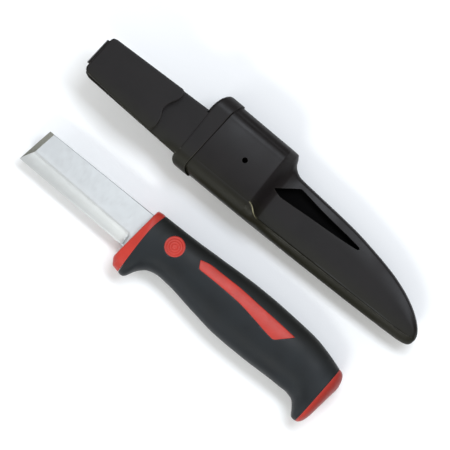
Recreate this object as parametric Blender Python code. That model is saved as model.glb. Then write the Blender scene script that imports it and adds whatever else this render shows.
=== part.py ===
"""Grafting knife with a chisel end, laid beside its moulded belt sheath.

Lengths in this file are millimetres, and every mesh is made in metres through MM.
+X runs from the blade's end to the butt, +Y from the knife to the sheath, +Z up.
The origin is on the resting plane, at the middle of the whole layout.
"""
from math import copysign, cos, pi, radians, sin, sqrt

import bmesh
import bpy
from mathutils import Matrix, Vector

MM = 0.001
GAP = 0.35                      # clearance between pieces that touch on the real object

# ---- heights of the two middle planes above the resting plane
KNIFE_MID_Z = 12.0
SHEATH_MID_Z = 14.0

# Outlines are seen from above, as (x, y, corner): corner is 1 at a sharp corner, and 0
# where the outline runs smoothly through the point.

# ---- blade with its hidden tang
BLADE_HALF_THICK = 1.3
BLADE_OUTLINE = [(-106.5, -38.8, 1), (-103.0, -18.1, 1), (-32.6, -18.1, 1),
                 (-33.2, -24.6, 1), (58.0, -26.6, 1), (60.0, -28.6, 0), (60.0, -31.0, 0),
                 (58.0, -33.0, 1), (-34.2, -35.0, 1), (-34.8, -40.5, 1)]
RIDGE = ((-104.0, -31.2), (-37.2, -33.5))   # where the flat turns into the long bevel
BEVEL_WIDTH = 7.3
PLUNGE_RUN = 2.4                            # the long bevel runs out over this length
EDGE_THICK = 0.15                           # both bevels are ground on the upper side only
CHISEL_WIDTH = 2.7

# ---- handle outline, seen from above: (x, y) along the finger side and the back
FINGER_SIDE = [(-31.4, -52.0), (-28.6, -52.8), (-26.4, -51.6), (-24.2, -47.4),
               (-20.5, -43.2), (-15.0, -41.2), (-7.4, -41.3), (10.5, -43.9),
               (26.0, -46.0), (45.0, -46.5), (70.0, -46.0), (76.5, -46.2),
               (80.4, -47.7), (83.0, -50.9), (85.2, -54.0), (88.2, -54.6)]
BACK_SIDE = [(-29.3, -14.7), (-9.7, -14.4), (7.2, -13.6), (30.0, -12.7),
             (55.0, -13.4), (74.3, -15.3), (83.3, -17.6), (89.6, -19.6)]
HALF_THICK = [(-30.0, 10.2), (-24.0, 10.2), (-10.0, 10.6), (20.0, 11.6), (45.0, 12.0),
              (65.0, 11.6), (78.0, 10.8), (89.0, 11.2)]
GRIP_POWER = 2.35                           # fullness of the oval section
GRIP_STATIONS = 27
GRIP_RING = 32

# ---- collar and end cap
COLLAR_FRONT = ((-37.3, -49.6), (-34.0, -15.2))      # finger-side and back-side corners
COLLAR_FRONT_HALF_THICK = 8.6
COLLAR_REAR_HALF_THICK = 10.0
CAP_PROFILE = [(0.0, 0.0, 0.0), (1.6, 0.5, 0.4), (3.2, 2.0, 1.5), (4.5, 5.0, 3.6),
               (5.3, 9.5, 6.6)]              # (out along x, in from the edges, in on z)

# ---- core inside the grip
CORE_HALF_THICK = 6.0
CORE_INSET = 5.0
CORE_CORNER = 3.0
CORE_X = (-28.4, 87.8)
CORE_LOWEST_Y = -47.0
CORE_STATIONS = 9
TANG_SLOT = ((-40.0, 62.0), (-35.6, -24.0))

# ---- inserts on both sides of the grip
DISC_CENTRE = (-15.9, -23.8)
DISC_RADIUS = 5.5
STRIP_OUTLINE = [(-1.5, -20.7, 1), (13.0, -19.2, 0), (24.0, -19.1, 0), (36.0, -19.7, 0),
                 (50.0, -20.4, 0), (61.3, -21.2, 1), (53.2, -29.3, 1), (47.0, -28.5, 0),
                 (38.0, -26.9, 0), (28.0, -25.5, 0), (15.0, -24.9, 0), (0.9, -24.9, 1)]

# ---- sheath, all from the middle plane of the sheath
MOUTH_X = -46.4
MOUTH_SETBACK = (2.9, 4.9)                  # how far its low-y and high-y sides fall back
BAND_END_X = (-38.0, -36.2)                 # at the low-y and high-y ends of the flat top
BAND_END_SETBACK = (4.7, 3.4)
FLAT_TOP_Y = (13.2, 41.6)
BAND_Y = (8.5, 54.6)
BARREL_Y = (9.4, 53.6)
BARREL_END_Y = (9.0, 52.8)
BARREL_HALF_THICK = 14.0
BAND_STEP = 1.0
SHOULDER_X = (-0.4, 8.0)
POCKET_HALF_THICK = 4.9
TIP_HALF_THICK = 4.2
BARREL_CORNER = 8.5
STRAIGHT_SIDE = [(-0.4, 9.1), (50.0, 9.5), (106.0, 10.9)]
BELLY_SIDE = [(3.6, 52.8), (5.3, 50.9), (6.7, 47.9), (9.1, 45.7), (12.7, 44.2),
              (23.3, 43.3), (37.3, 42.3), (51.7, 41.0), (66.9, 38.6), (78.6, 36.2),
              (89.4, 32.9), (98.2, 28.9), (104.5, 24.7)]
TIP_RINGS = [(107.4, 11.4, 22.2), (109.2, 12.8, 20.2), (110.0, 14.8, 18.2)]
POCKET_STATIONS = 11
CORNER_POINTS = 5
WALL = 2.1
CAVITY_END_X = 103.0
CAVITY_POCKET_HALF = 2.8
WINDOW_OUTLINE = [(4.6, 31.5, 1), (16.0, 40.3, 1), (33.0, 38.0, 0), (56.0, 35.9, 1),
                  (58.8, 34.6, 0), (56.0, 33.3, 1), (42.0, 31.9, 0), (27.0, 30.9, 0),
                  (9.8, 29.7, 1)]
VENT_CENTRE = (-15.8, 33.1)
VENT_RADIUS = 1.5

# ---- belt clip
STRAP_THICK = 2.4
STRAP_OUTLINE = [(-108.1, 19.6, 1), (-107.2, 16.9, 0), (-104.6, 15.6, 1),
                 (MOUTH_X - GAP, 13.1, 1), (MOUTH_X - GAP, 41.5, 1), (-104.6, 39.5, 1),
                 (-106.4, 38.8, 0), (-107.2, 36.8, 1)]
BELT_GAP = 4.7
TONGUE_THICK = 2.2
TONGUE_OUTLINE = [(-108.6, 21.4, 1), (-108.5, 19.3, 0), (-107.2, 17.5, 0),
                  (-105.0, 16.9, 1), (-65.2, 14.1, 1), (-63.1, 14.9, 0), (-62.0, 18.8, 0),
                  (-62.7, 23.2, 0), (-64.4, 27.4, 0), (-63.6, 31.6, 0), (-61.4, 35.6, 0),
                  (-60.8, 39.4, 0), (-62.6, 41.4, 1), (-104.7, 39.9, 1), (-106.2, 39.5, 0),
                  (-107.1, 38.7, 0), (-107.6, 37.0, 1)]
WEB_THICK = 1.0
WEB_ROOT = 1.8                              # the fold's hold inside the strap's end
WEB_Y = (21.3, 36.9)
WEB_LEAN = 1.0                              # the fold's high-y end lies further along x
WEB_OUT_X = -110.0
FOLD_X = -108.9                             # where the fold ends and the tongue begins
FLEX_AXIS = (-108.2, 29.1)                  # a point that the tongue's bending axis crosses

STEEL = ("satin_steel", (0.62, 0.64, 0.65, 1.0), 0.28, 1.0)
RED = ("red_plastic", (0.62, 0.07, 0.06, 1.0), 0.42, 0.0)
CORE = ("core_plastic", (0.50, 0.05, 0.05, 1.0), 0.50, 0.0)
RUBBER = ("black_rubber", (0.028, 0.033, 0.037, 1.0), 0.55, 0.0)
SHEATH = ("sheath_plastic", (0.030, 0.028, 0.031, 1.0), 0.42, 0.0)


def remove_everything():
    for thing in list(bpy.data.objects):
        bpy.data.objects.remove(thing, do_unlink=True)
    for group in list(bpy.data.collections):
        bpy.data.collections.remove(group)


def new_collection(name):
    group = bpy.data.collections.new(name)
    bpy.context.scene.collection.children.link(group)
    return group


def new_material(finish):
    name, colour, roughness, metallic = finish
    surface = bpy.data.materials.new(name)
    surface.use_nodes = True
    shader = surface.node_tree.nodes["Principled BSDF"]
    shader.inputs["Base Color"].default_value = colour
    shader.inputs["Roughness"].default_value = roughness
    shader.inputs["Metallic"].default_value = metallic
    surface.diffuse_color = colour
    return surface


def along(points, x):
    """Height of a smooth curve through (x, value) points, with no overshoot."""
    if x <= points[0][0]:
        return points[0][1]
    if x >= points[-1][0]:
        return points[-1][1]
    slopes = [(b[1] - a[1]) / (b[0] - a[0]) for a, b in zip(points, points[1:])]
    tangents = [slopes[0]]
    for before, after in zip(slopes, slopes[1:]):
        same_way = before * after > 0.0
        tangents.append(2.0 * before * after / (before + after) if same_way else 0.0)
    tangents.append(slopes[-1])
    for i, (a, b) in enumerate(zip(points, points[1:])):
        if x <= b[0]:
            span = b[0] - a[0]
            t = (x - a[0]) / span
            keep = 1.0 - t
            return (a[1] * (1.0 + 2.0 * t) * keep * keep + b[1] * t * t * (3.0 - 2.0 * t)
                    + tangents[i] * span * t * keep * keep
                    - tangents[i + 1] * span * t * t * keep)
    return points[-1][1]


def mix(a, b, t):
    return a + (b - a) * t


def oval_ring(low, high, half_thick, power=GRIP_POWER):
    """Oval through two edge points (x, y), swelling half_thick each way from z = 0."""
    ring = []
    for i in range(GRIP_RING):
        angle = 2.0 * pi * i / GRIP_RING
        across = copysign(abs(cos(angle)) ** (2.0 / power), cos(angle))
        up = copysign(abs(sin(angle)) ** (2.0 / power), sin(angle))
        t = 0.5 + 0.5 * across
        ring.append((mix(low[0], high[0], t), mix(low[1], high[1], t), half_thick * up))
    return ring


def box_ring(x, y_span, z_span, corner, bend=None):
    """Rounded rectangle across x; bend(y) moves its points along x."""
    y_low, y_high = y_span
    z_low, z_high = z_span
    corner = min(corner, 0.499 * (y_high - y_low), 0.499 * (z_high - z_low))
    centres = [(y_high - corner, z_high - corner, 0), (y_low + corner, z_high - corner, 1),
               (y_low + corner, z_low + corner, 2), (y_high - corner, z_low + corner, 3)]
    ring = []
    for y_mid, z_mid, quarter in centres:
        for i in range(CORNER_POINTS):
            angle = pi / 2.0 * (quarter + i / (CORNER_POINTS - 1))
            y = y_mid + corner * cos(angle)
            z = z_mid + corner * sin(angle)
            ring.append((x + (bend(y) if bend else 0.0), y, z))
    return ring


def add_object(name, mesh, group, finish=None):
    item = bpy.data.objects.new(name, mesh)
    group.objects.link(item)
    if finish is None:
        item.hide_render = True
        item.display_type = "WIRE"
    else:
        mesh.materials.clear()
        mesh.materials.append(bpy.data.materials.get(finish[0]) or new_material(finish))
    return item


def loft(name, rings, group, finish=None):
    """Closed body through rings of equal point counts, capped at both ends."""
    shape = bmesh.new()
    loops = [[shape.verts.new(Vector(point) * MM) for point in ring] for ring in rings]
    for front, rear in zip(loops, loops[1:]):
        for i in range(len(front)):
            j = (i + 1) % len(front)
            shape.faces.new((front[i], front[j], rear[j], rear[i]))
    shape.faces.new(list(reversed(loops[0])))
    shape.faces.new(loops[-1])
    bmesh.ops.recalc_face_normals(shape, faces=shape.faces)
    mesh = bpy.data.meshes.new(name)
    shape.to_mesh(mesh)
    shape.free()
    mesh.shade_smooth()
    mesh.set_sharp_from_angle(angle=radians(35.0))
    return add_object(name, mesh, group, finish)


def plate(name, outline, z_span, group, finish=None, offset=0.0, resolution=3):
    """Flat plate: a filled outline of (x, y, corner) points, corner 1 sharp and 0 smooth."""
    curve = bpy.data.curves.new(name, "CURVE")
    curve.dimensions = "2D"
    curve.fill_mode = "BOTH"
    curve.extrude = 0.5 * (z_span[1] - z_span[0]) * MM
    curve.resolution_u = resolution
    curve.offset = offset * MM
    spline = curve.splines.new("BEZIER")
    spline.bezier_points.add(len(outline) - 1)
    spline.use_cyclic_u = True
    for knot, point in zip(spline.bezier_points, outline):
        knot.co = (point[0] * MM, point[1] * MM, 0.0)
        kind = "VECTOR" if point[2] else "AUTO"
        knot.handle_left_type = kind
        knot.handle_right_type = kind
    source = bpy.data.objects.new(name + "_outline", curve)
    group.objects.link(source)
    source.location.z = 0.5 * (z_span[0] + z_span[1]) * MM
    bpy.context.view_layer.update()
    mesh = bpy.data.meshes.new_from_object(
        source.evaluated_get(bpy.context.evaluated_depsgraph_get()))
    mesh.transform(source.matrix_world)
    bpy.data.objects.remove(source, do_unlink=True)
    shape = bmesh.new()
    shape.from_mesh(mesh)
    bmesh.ops.remove_doubles(shape, verts=shape.verts, dist=0.00001)
    bmesh.ops.dissolve_limit(shape, angle_limit=radians(0.5), verts=shape.verts,
                             edges=shape.edges)
    bmesh.ops.recalc_face_normals(shape, faces=shape.faces)
    shape.to_mesh(mesh)
    shape.free()
    return add_object(name, mesh, group, finish)


def block(name, x_span, y_span, z_span, group):
    shape = bmesh.new()
    bmesh.ops.create_cube(shape, size=1.0)
    size = [(span[1] - span[0]) * MM for span in (x_span, y_span, z_span)]
    middle = [(span[1] + span[0]) / 2.0 * MM for span in (x_span, y_span, z_span)]
    bmesh.ops.scale(shape, vec=size, verts=shape.verts)
    bmesh.ops.translate(shape, vec=middle, verts=shape.verts)
    mesh = bpy.data.meshes.new(name)
    shape.to_mesh(mesh)
    shape.free()
    return add_object(name, mesh, group)


def rod(name, centre, radius, z_span, group, finish=None):
    """Upright cylinder."""
    shape = bmesh.new()
    bmesh.ops.create_cone(shape, cap_ends=True, segments=32, radius1=radius * MM,
                          radius2=radius * MM, depth=(z_span[1] - z_span[0]) * MM)
    middle = Vector((centre[0], centre[1], (z_span[0] + z_span[1]) / 2.0)) * MM
    bmesh.ops.translate(shape, vec=middle, verts=shape.verts)
    mesh = bpy.data.meshes.new(name)
    shape.to_mesh(mesh)
    shape.free()
    return add_object(name, mesh, group, finish)


def combine(item, other, operation):
    step = item.modifiers.new(operation.lower(), "BOOLEAN")
    step.operation = operation
    step.solver = "EXACT"
    step.object = other


# ---------------------------------------------------------------- knife

def handle_rings():
    """Outer form of the grip, from the collar to the end cap."""
    rings = []
    low_start, low_end = FINGER_SIDE[0][0] + GAP, FINGER_SIDE[-1][0] - GAP
    high_start, high_end = BACK_SIDE[0][0] + GAP, BACK_SIDE[-1][0] - GAP
    for i in range(GRIP_STATIONS):
        even = i / (GRIP_STATIONS - 1)
        t = even - 0.11 * sin(2.0 * pi * even)
        x_low = mix(low_start, low_end, t)
        x_high = mix(high_start, high_end, t)
        low = (x_low, along(FINGER_SIDE, x_low))
        high = (x_high, along(BACK_SIDE, x_high))
        rings.append(oval_ring(low, high, along(HALF_THICK, (x_low + x_high) / 2)))
    return rings


def core_rings(grow=0.0, overrun=0.0):
    """The core follows the handle's outline, well inside it; overrun lengthens both ends."""
    rings = []
    for i in range(CORE_STATIONS):
        x = mix(CORE_X[0], CORE_X[1], i / (CORE_STATIONS - 1))
        low = max(along(FINGER_SIDE, x), CORE_LOWEST_Y) + CORE_INSET - grow
        high = along(BACK_SIDE, x) - CORE_INSET + grow
        half = CORE_HALF_THICK + grow
        place = x + overrun * ((i == CORE_STATIONS - 1) - (i == 0))
        ring = box_ring(x, (low, high), (-half, half), CORE_CORNER + grow)
        if overrun and i in (0, CORE_STATIONS - 1):
            beyond = [(place, y, z) for _, y, z in ring]
            rings += [beyond, ring] if i == 0 else [ring, beyond]
        else:
            rings.append(ring)
    return rings


def build_blade(parts, cutters):
    """Flat on its far side; the long bevel and the end bevel are ground on the near side."""
    thick = BLADE_HALF_THICK
    blade = plate("blade", BLADE_OUTLINE, (-thick, thick), parts, STEEL)
    combine(blade, bevel_cutter(cutters), "DIFFERENCE")
    combine(blade, chisel_cutter(cutters), "DIFFERENCE")


def bevel_cutter(cutters):
    """Wedge that grinds the long bevel down to the cutting edge, up to its run-out."""
    thick = BLADE_HALF_THICK
    (x0, y0), (x1, y1) = RIDGE
    reach = 2.0 * BEVEL_WIDTH
    depth = (2.0 * thick - EDGE_THICK) / BEVEL_WIDTH * reach
    rings = []
    for x, deep in ((x0 - 10.0, depth), (x1 - PLUNGE_RUN, depth), (x1, 0.0)):
        ridge = mix(y0, y1, (x - x0) / (x1 - x0))
        rings.append([(x, ridge, thick), (x, ridge - reach, thick - deep),
                      (x, ridge - reach, thick + 2.0), (x, ridge, thick + 2.0)])
    return loft("bevel_cutter", rings, cutters)


def chisel_cutter(cutters):
    """Wedge that grinds the blade's end down to its edge."""
    (low_x, low_y, _), (high_x, high_y, _) = BLADE_OUTLINE[0], BLADE_OUTLINE[1]
    thick = BLADE_HALF_THICK
    edge_z = EDGE_THICK - thick
    fall = (thick - edge_z) / CHISEL_WIDTH
    rings = []
    for t in (-0.3, 1.3):
        x = mix(low_x, high_x, t)
        y = mix(low_y, high_y, t)
        rings.append([(x + CHISEL_WIDTH, y, thick), (x - 3.0, y, edge_z - 3.0 * fall),
                      (x - 3.0, y, thick + 3.0), (x + CHISEL_WIDTH, y, thick + 3.0)])
    return loft("chisel_cutter", rings, cutters)


def build_collar(parts, cutters):
    """Wedge collar: thin at the back, thick at the finger side, slotted for the blade."""
    low_rear = (FINGER_SIDE[0][0], FINGER_SIDE[0][1])
    high_rear = (BACK_SIDE[0][0], BACK_SIDE[0][1])
    low_front, high_front = COLLAR_FRONT
    rings = [oval_ring((low_front[0], low_front[1] + 1.0), (high_front[0], high_front[1] - 0.6),
                       COLLAR_FRONT_HALF_THICK - 0.6, 3.2),
             oval_ring((low_front[0] + 0.9, low_front[1] - 0.6),
                       (high_front[0] + 0.7, high_front[1] + 0.1), COLLAR_FRONT_HALF_THICK, 3.2),
             oval_ring((low_front[0] + 3.2, low_front[1] - 3.0), (high_front[0] + 2.0,
                       high_front[1] + 0.6), mix(COLLAR_FRONT_HALF_THICK,
                       COLLAR_REAR_HALF_THICK, 0.6), 2.8),
             oval_ring(low_rear, high_rear, COLLAR_REAR_HALF_THICK)]
    collar = loft("front_collar", rings, parts, RED)
    blade_low = BLADE_OUTLINE[-1][1]
    blade_high = BLADE_OUTLINE[1][1]
    slot_half = BLADE_HALF_THICK + GAP
    slot = block("collar_slot_cutter", (-42.0, -26.0), (blade_low - GAP, blade_high + GAP),
                 (-slot_half, slot_half), cutters)
    combine(collar, slot, "DIFFERENCE")


def build_core(parts, cutters):
    core = loft("handle_core", core_rings(), parts, CORE)
    slot_half = BLADE_HALF_THICK + GAP
    slot = block("tang_slot_cutter", TANG_SLOT[0], TANG_SLOT[1], (-slot_half, slot_half),
                 cutters)
    combine(core, slot, "DIFFERENCE")


def build_grip(parts, cutters):
    """Rubber sleeve: outer form, less the core's bore and the four insert windows."""
    grip = loft("grip_sleeve", handle_rings(), parts, RUBBER)
    bore = loft("core_bore_cutter", core_rings(GAP, 12.0), cutters)
    combine(grip, bore, "DIFFERENCE")
    floor = CORE_HALF_THICK
    for side, z_span in (("front", (floor, 16.0)), ("back", (-16.0, -floor))):
        disc = rod("disc_window_%s" % side, DISC_CENTRE, DISC_RADIUS + GAP, z_span, cutters)
        strip = plate("strip_window_%s" % side, STRIP_OUTLINE, z_span, cutters, offset=GAP)
        combine(grip, disc, "DIFFERENCE")
        combine(grip, strip, "DIFFERENCE")


def build_inserts(parts, cutters):
    """Disc and long inlay on each side, cut off level with the grip's surface."""
    surface = loft("grip_surface_cutter", handle_rings(), cutters)
    floor = CORE_HALF_THICK + GAP
    for side, z_span in (("front", (floor, 15.0)), ("back", (-15.0, -floor))):
        disc = rod("emblem_disc_%s" % side, DISC_CENTRE, DISC_RADIUS, z_span, parts, RED)
        strip = plate("side_inlay_%s" % side, STRIP_OUTLINE, z_span, parts, RED)
        for item in (disc, strip):
            combine(item, surface, "INTERSECT")


def build_end_cap(parts):
    low_x, low_y = FINGER_SIDE[-1]
    high_x, high_y = BACK_SIDE[-1]
    half = HALF_THICK[-1][1]
    rings = []
    for out, inward, thinner in CAP_PROFILE:
        low = (low_x + out * 0.9, low_y + inward * 1.15)
        high = (high_x + out, high_y - inward * 0.8)
        rings.append(oval_ring(low, high, half - thinner))
    loft("end_cap", rings, parts, RED)


# ---------------------------------------------------------------- sheath

def setback(y, low_side, high_side):
    """Round fall-back of the band's edges, outside the flat top."""
    low, high = FLAT_TOP_Y
    if y < low:
        out = min(1.0, (low - y) / (low - BAND_Y[0]))
        return low_side * (1.0 - sqrt(1.0 - out * out))
    out = min(1.0, max(0.0, y - high) / (BAND_Y[1] - high))
    return high_side * (1.0 - sqrt(1.0 - out * out))


def mouth_bend(y):
    return setback(y, *MOUTH_SETBACK)


def band_end_bend(y):
    low, high = FLAT_TOP_Y
    t = min(1.0, max(0.0, (y - low) / (high - low)))
    return (BAND_END_X[1] - BAND_END_X[0]) * t + setback(y, *BAND_END_SETBACK)


def sheath_rings():
    """Outer form from the mouth to the tip: band, barrel, shoulder and flat pocket."""
    barrel = BARREL_HALF_THICK
    top = barrel + BAND_STEP
    lip = 0.9
    inner_y = (BAND_Y[0] + lip, BAND_Y[1] - lip)
    rings = [box_ring(MOUTH_X, inner_y, (-barrel, top), BARREL_CORNER - lip, mouth_bend),
             box_ring(MOUTH_X + lip, BAND_Y, (-barrel, top), BARREL_CORNER, mouth_bend),
             box_ring(BAND_END_X[0], BAND_Y, (-barrel, top), BARREL_CORNER, band_end_bend),
             box_ring(BAND_END_X[0] + 0.5, BARREL_Y, (-barrel, barrel), BARREL_CORNER,
                      band_end_bend)]
    start, foot = SHOULDER_X
    rings.append(box_ring(start - 1.0, BARREL_END_Y, (-barrel, barrel), BARREL_CORNER))
    steps = 7
    for i in range(steps):
        t = i / (steps - 1)
        x = mix(start, foot, t)
        low = along(STRAIGHT_SIDE, x)
        high = along(BELLY_SIDE, x)
        half = mix(barrel - 0.5, POCKET_HALF_THICK, t)
        corner = mix(BARREL_CORNER, POCKET_HALF_THICK, t)
        rings.append(box_ring(x, (low, high), (-half, half), corner))
    for i in range(1, POCKET_STATIONS + 1):
        t = i / POCKET_STATIONS
        x = mix(foot + 1.2, BELLY_SIDE[-1][0], t ** 0.8)
        half = mix(POCKET_HALF_THICK, TIP_HALF_THICK, t)
        span = (along(STRAIGHT_SIDE, x), along(BELLY_SIDE, x))
        rings.append(box_ring(x, span, (-half, half), half))
    for i, (x, low, high) in enumerate(TIP_RINGS):
        half = TIP_HALF_THICK - 0.5 * i * i
        rings.append(box_ring(x, (low, high), (-half, half), half))
    return rings


def cavity_rings():
    """Hollow for the handle's front and the blade, one wall inside the outer form."""
    barrel = BARREL_HALF_THICK - WALL
    barrel_y = (BARREL_Y[0] + WALL, BARREL_END_Y[1] - WALL)
    rings = [box_ring(MOUTH_X - 2.0, barrel_y, (-barrel, barrel), BARREL_CORNER - WALL),
             box_ring(-3.6, barrel_y, (-barrel, barrel), BARREL_CORNER - WALL)]
    steps = 6
    for i in range(1, steps + 1):
        t = i / steps
        x = mix(-3.6, 6.4, t)
        half = mix(barrel, CAVITY_POCKET_HALF, t)
        high = min(along(BELLY_SIDE, x + 2.4), BARREL_END_Y[1]) - WALL
        rings.append(box_ring(x, (BARREL_Y[0] + WALL, high), (-half, half),
                              mix(BARREL_CORNER - WALL, 1.4, t)))
    steps = 9
    for i in range(1, steps + 1):
        t = i / steps
        x = mix(6.4, CAVITY_END_X, t ** 0.85)
        span = (along(STRAIGHT_SIDE, x) + WALL + 0.4, along(BELLY_SIDE, x) - WALL - 0.4)
        half = CAVITY_POCKET_HALF
        rings.append(box_ring(x, span, (-half, half), 1.4))
    return rings


def build_sheath_body(parts, cutters):
    body = loft("sheath_body", sheath_rings(), parts, SHEATH)
    combine(body, loft("sheath_cavity_cutter", cavity_rings(), cutters), "DIFFERENCE")
    window = plate("window_cutter", WINDOW_OUTLINE, (0.0, 16.0), cutters)
    combine(body, window, "DIFFERENCE")
    vent = rod("vent_cutter", VENT_CENTRE, VENT_RADIUS, (8.0, 18.0), cutters)
    combine(body, vent, "DIFFERENCE")


def web_profile(strap_top, tongue_bottom):
    """Side view (x, z) of the thin fold from the strap's end up to the tongue's end."""
    strap_mid = strap_top - STRAP_THICK / 2.0
    tongue_mid = tongue_bottom + TONGUE_THICK / 2.0
    centre_z = (strap_mid + tongue_mid) / 2.0
    outer = (FOLD_X - WEB_OUT_X, (tongue_mid - strap_mid + WEB_THICK) / 2.0)
    inner = (outer[0] - WEB_THICK, outer[1] - WEB_THICK)
    turn = [pi / 2.0 + pi * i / 10.0 for i in range(11)]
    outside = [(FOLD_X + outer[0] * cos(a), centre_z + outer[1] * sin(a)) for a in turn]
    inside = [(FOLD_X + inner[0] * cos(a), centre_z + inner[1] * sin(a)) for a in turn]
    root_x = FOLD_X + WEB_ROOT
    root = [(root_x, outside[-1][1]), (root_x, inside[-1][1])]
    return outside + root + list(reversed(inside))


def build_strap(parts, cutters):
    """Flat strap that starts at the mouth, with the thin fold at its far end."""
    top = BARREL_HALF_THICK + BAND_STEP
    strap = plate("belt_strap", STRAP_OUTLINE, (top - STRAP_THICK, top), parts, SHEATH)
    profile = web_profile(top, top + BELT_GAP)
    rings = [[(x + lean, y, z) for x, z in profile] for y, lean in zip(WEB_Y, (0, WEB_LEAN))]
    combine(strap, loft("fold_web_form", rings, cutters), "UNION")


def build_tongue(parts):
    """Springy front plate, modelled from the axis that it bends about at the fold."""
    half = TONGUE_THICK / 2.0
    tongue = plate("belt_clip_tongue", TONGUE_OUTLINE, (-half, half), parts, SHEATH)
    tongue.data.transform(Matrix.Translation((-FLEX_AXIS[0] * MM, -FLEX_AXIS[1] * MM, 0.0)))
    return tongue


def carry(items, name, x, y, z):
    """Carry pieces on an empty at their datum."""
    datum = bpy.data.objects.new(name, None)
    bpy.context.scene.collection.objects.link(datum)
    datum.location = (x * MM, y * MM, z * MM)
    for item in items:
        item.parent = datum


def main():
    remove_everything()
    parts = new_collection("grafting_knife")
    cutters = new_collection("cutters")
    build_blade(parts, cutters)
    build_collar(parts, cutters)
    build_core(parts, cutters)
    build_grip(parts, cutters)
    build_inserts(parts, cutters)
    build_end_cap(parts)
    knife = list(parts.objects) + list(cutters.objects)
    carry(knife, "knife_datum", 0.0, 0.0, KNIFE_MID_Z)
    build_sheath_body(parts, cutters)
    build_strap(parts, cutters)
    everything = list(parts.objects) + list(cutters.objects)
    sheath = [item for item in everything if item not in knife]
    carry(sheath, "sheath_datum", 0.0, 0.0, SHEATH_MID_Z)
    strap_top = SHEATH_MID_Z + BARREL_HALF_THICK + BAND_STEP
    flex_z = strap_top + BELT_GAP + TONGUE_THICK / 2.0
    carry([build_tongue(parts)], "clip_flex_axis", FLEX_AXIS[0], FLEX_AXIS[1], flex_z)


main()
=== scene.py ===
"""Grafting knife with a chisel end, and its moulded belt sheath, finished for display.

Forms are worked out in millimetres and made metres once, as each piece is finished.
+X runs from the blade's end to the butt, +Y from the knife to the sheath, +Z up. Heights
inside the knife and the sheath count from the middle plane of each.
"""

from math import copysign, cos, exp, pi, radians, sin, sqrt

import bmesh
import bpy
from bpy.props import FloatProperty, FloatVectorProperty, IntProperty, PointerProperty
from bpy.types import Operator, Panel, PropertyGroup
from mathutils import Matrix, Vector
from mathutils.bvhtree import BVHTree


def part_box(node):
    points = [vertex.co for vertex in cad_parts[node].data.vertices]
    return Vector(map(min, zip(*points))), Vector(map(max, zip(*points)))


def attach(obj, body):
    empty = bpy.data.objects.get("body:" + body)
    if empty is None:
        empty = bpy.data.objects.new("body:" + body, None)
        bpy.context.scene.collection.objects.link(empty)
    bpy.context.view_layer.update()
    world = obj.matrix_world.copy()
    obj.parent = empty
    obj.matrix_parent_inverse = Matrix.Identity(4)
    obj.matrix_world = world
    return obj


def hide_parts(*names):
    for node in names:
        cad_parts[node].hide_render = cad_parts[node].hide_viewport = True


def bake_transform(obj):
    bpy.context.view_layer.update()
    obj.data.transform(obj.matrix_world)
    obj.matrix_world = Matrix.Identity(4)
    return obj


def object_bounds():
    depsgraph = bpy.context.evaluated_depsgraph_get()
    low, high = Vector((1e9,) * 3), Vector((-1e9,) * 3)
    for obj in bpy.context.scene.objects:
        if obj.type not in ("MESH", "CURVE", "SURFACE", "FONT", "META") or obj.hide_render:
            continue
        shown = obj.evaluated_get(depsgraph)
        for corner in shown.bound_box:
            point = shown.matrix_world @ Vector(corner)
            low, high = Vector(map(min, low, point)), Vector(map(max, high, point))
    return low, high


bl_info = {
    "name": "Grafting Knife",
    "version": (1, 0, 0),
    "blender": (4, 5, 0),
    "location": "3D View > Sidebar > Grafting Knife",
    "description": "Builds a grafting knife and its belt sheath, piece by piece",
    "category": "Add Mesh",
}

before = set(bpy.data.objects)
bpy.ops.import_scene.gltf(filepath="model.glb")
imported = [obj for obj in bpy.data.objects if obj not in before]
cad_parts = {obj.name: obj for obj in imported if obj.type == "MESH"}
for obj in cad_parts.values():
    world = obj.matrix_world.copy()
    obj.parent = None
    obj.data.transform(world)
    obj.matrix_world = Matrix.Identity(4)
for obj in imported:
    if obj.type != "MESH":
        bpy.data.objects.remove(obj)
CAD_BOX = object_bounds()
MM = 0.001


def node_box(node):
    """Lowest and highest corners of a frame node, in millimetres."""
    low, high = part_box(node)
    return low / MM, high / MM


def middle(low, high):
    return (low + high) / 2.0


# ---- datums taken from the frame
GRIP_LOW, GRIP_HIGH = node_box("grip_sleeve")
BLADE_LOW, BLADE_HIGH = node_box("blade")
CORE_HIGH = node_box("handle_core")[1]
SHELL_LOW, SHELL_HIGH = node_box("sheath_body")
TONGUE_LOW, TONGUE_HIGH = node_box("belt_clip_tongue")
KNIFE_MID_Z = middle(GRIP_LOW.z, GRIP_HIGH.z)
BAND_STEP = 1.0                             # the mouth band stands this proud of the barrel
SHEATH_MID_Z = middle(SHELL_LOW.z, SHELL_HIGH.z - BAND_STEP)

# ---- handle outline, seen from above, along the finger side and along the back
FINGER_SIDE = [(-30.7, -52.3), (-28.6, -52.8), (-26.4, -51.6), (-24.2, -47.4),
               (-20.5, -43.2), (-15.0, -41.2), (-7.4, -41.3), (10.5, -43.9),
               (26.0, -46.0), (45.0, -46.5), (70.0, -46.0), (76.5, -46.2),
               (80.4, -47.7), (83.0, -50.9), (85.2, -54.0), (88.2, -54.6)]
BACK_SIDE = [(-29.3, -14.7), (-9.7, -14.4), (7.2, -13.6), (30.0, -12.7),
             (55.0, -13.4), (74.3, -15.3), (83.3, -17.6), (89.6, -19.6)]
HALF_THICK = [(-30.0, 10.2), (-24.0, 10.2), (-10.0, 10.6), (20.0, 11.6), (45.0, 12.0),
              (65.0, 11.6), (78.0, 10.8), (89.0, 11.2)]
GRIP_POWER = 2.35                           # fullness of the grip's oval section
COLLAR_POWER = 3.2
OVAL_POINTS = 96
GRIP_LOOPS = 120
END_CROWDING = 0.11                         # draws the grip's loops towards both ends
GRIP_WALL = 4.8                             # rubber on either side of the core's bore
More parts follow.
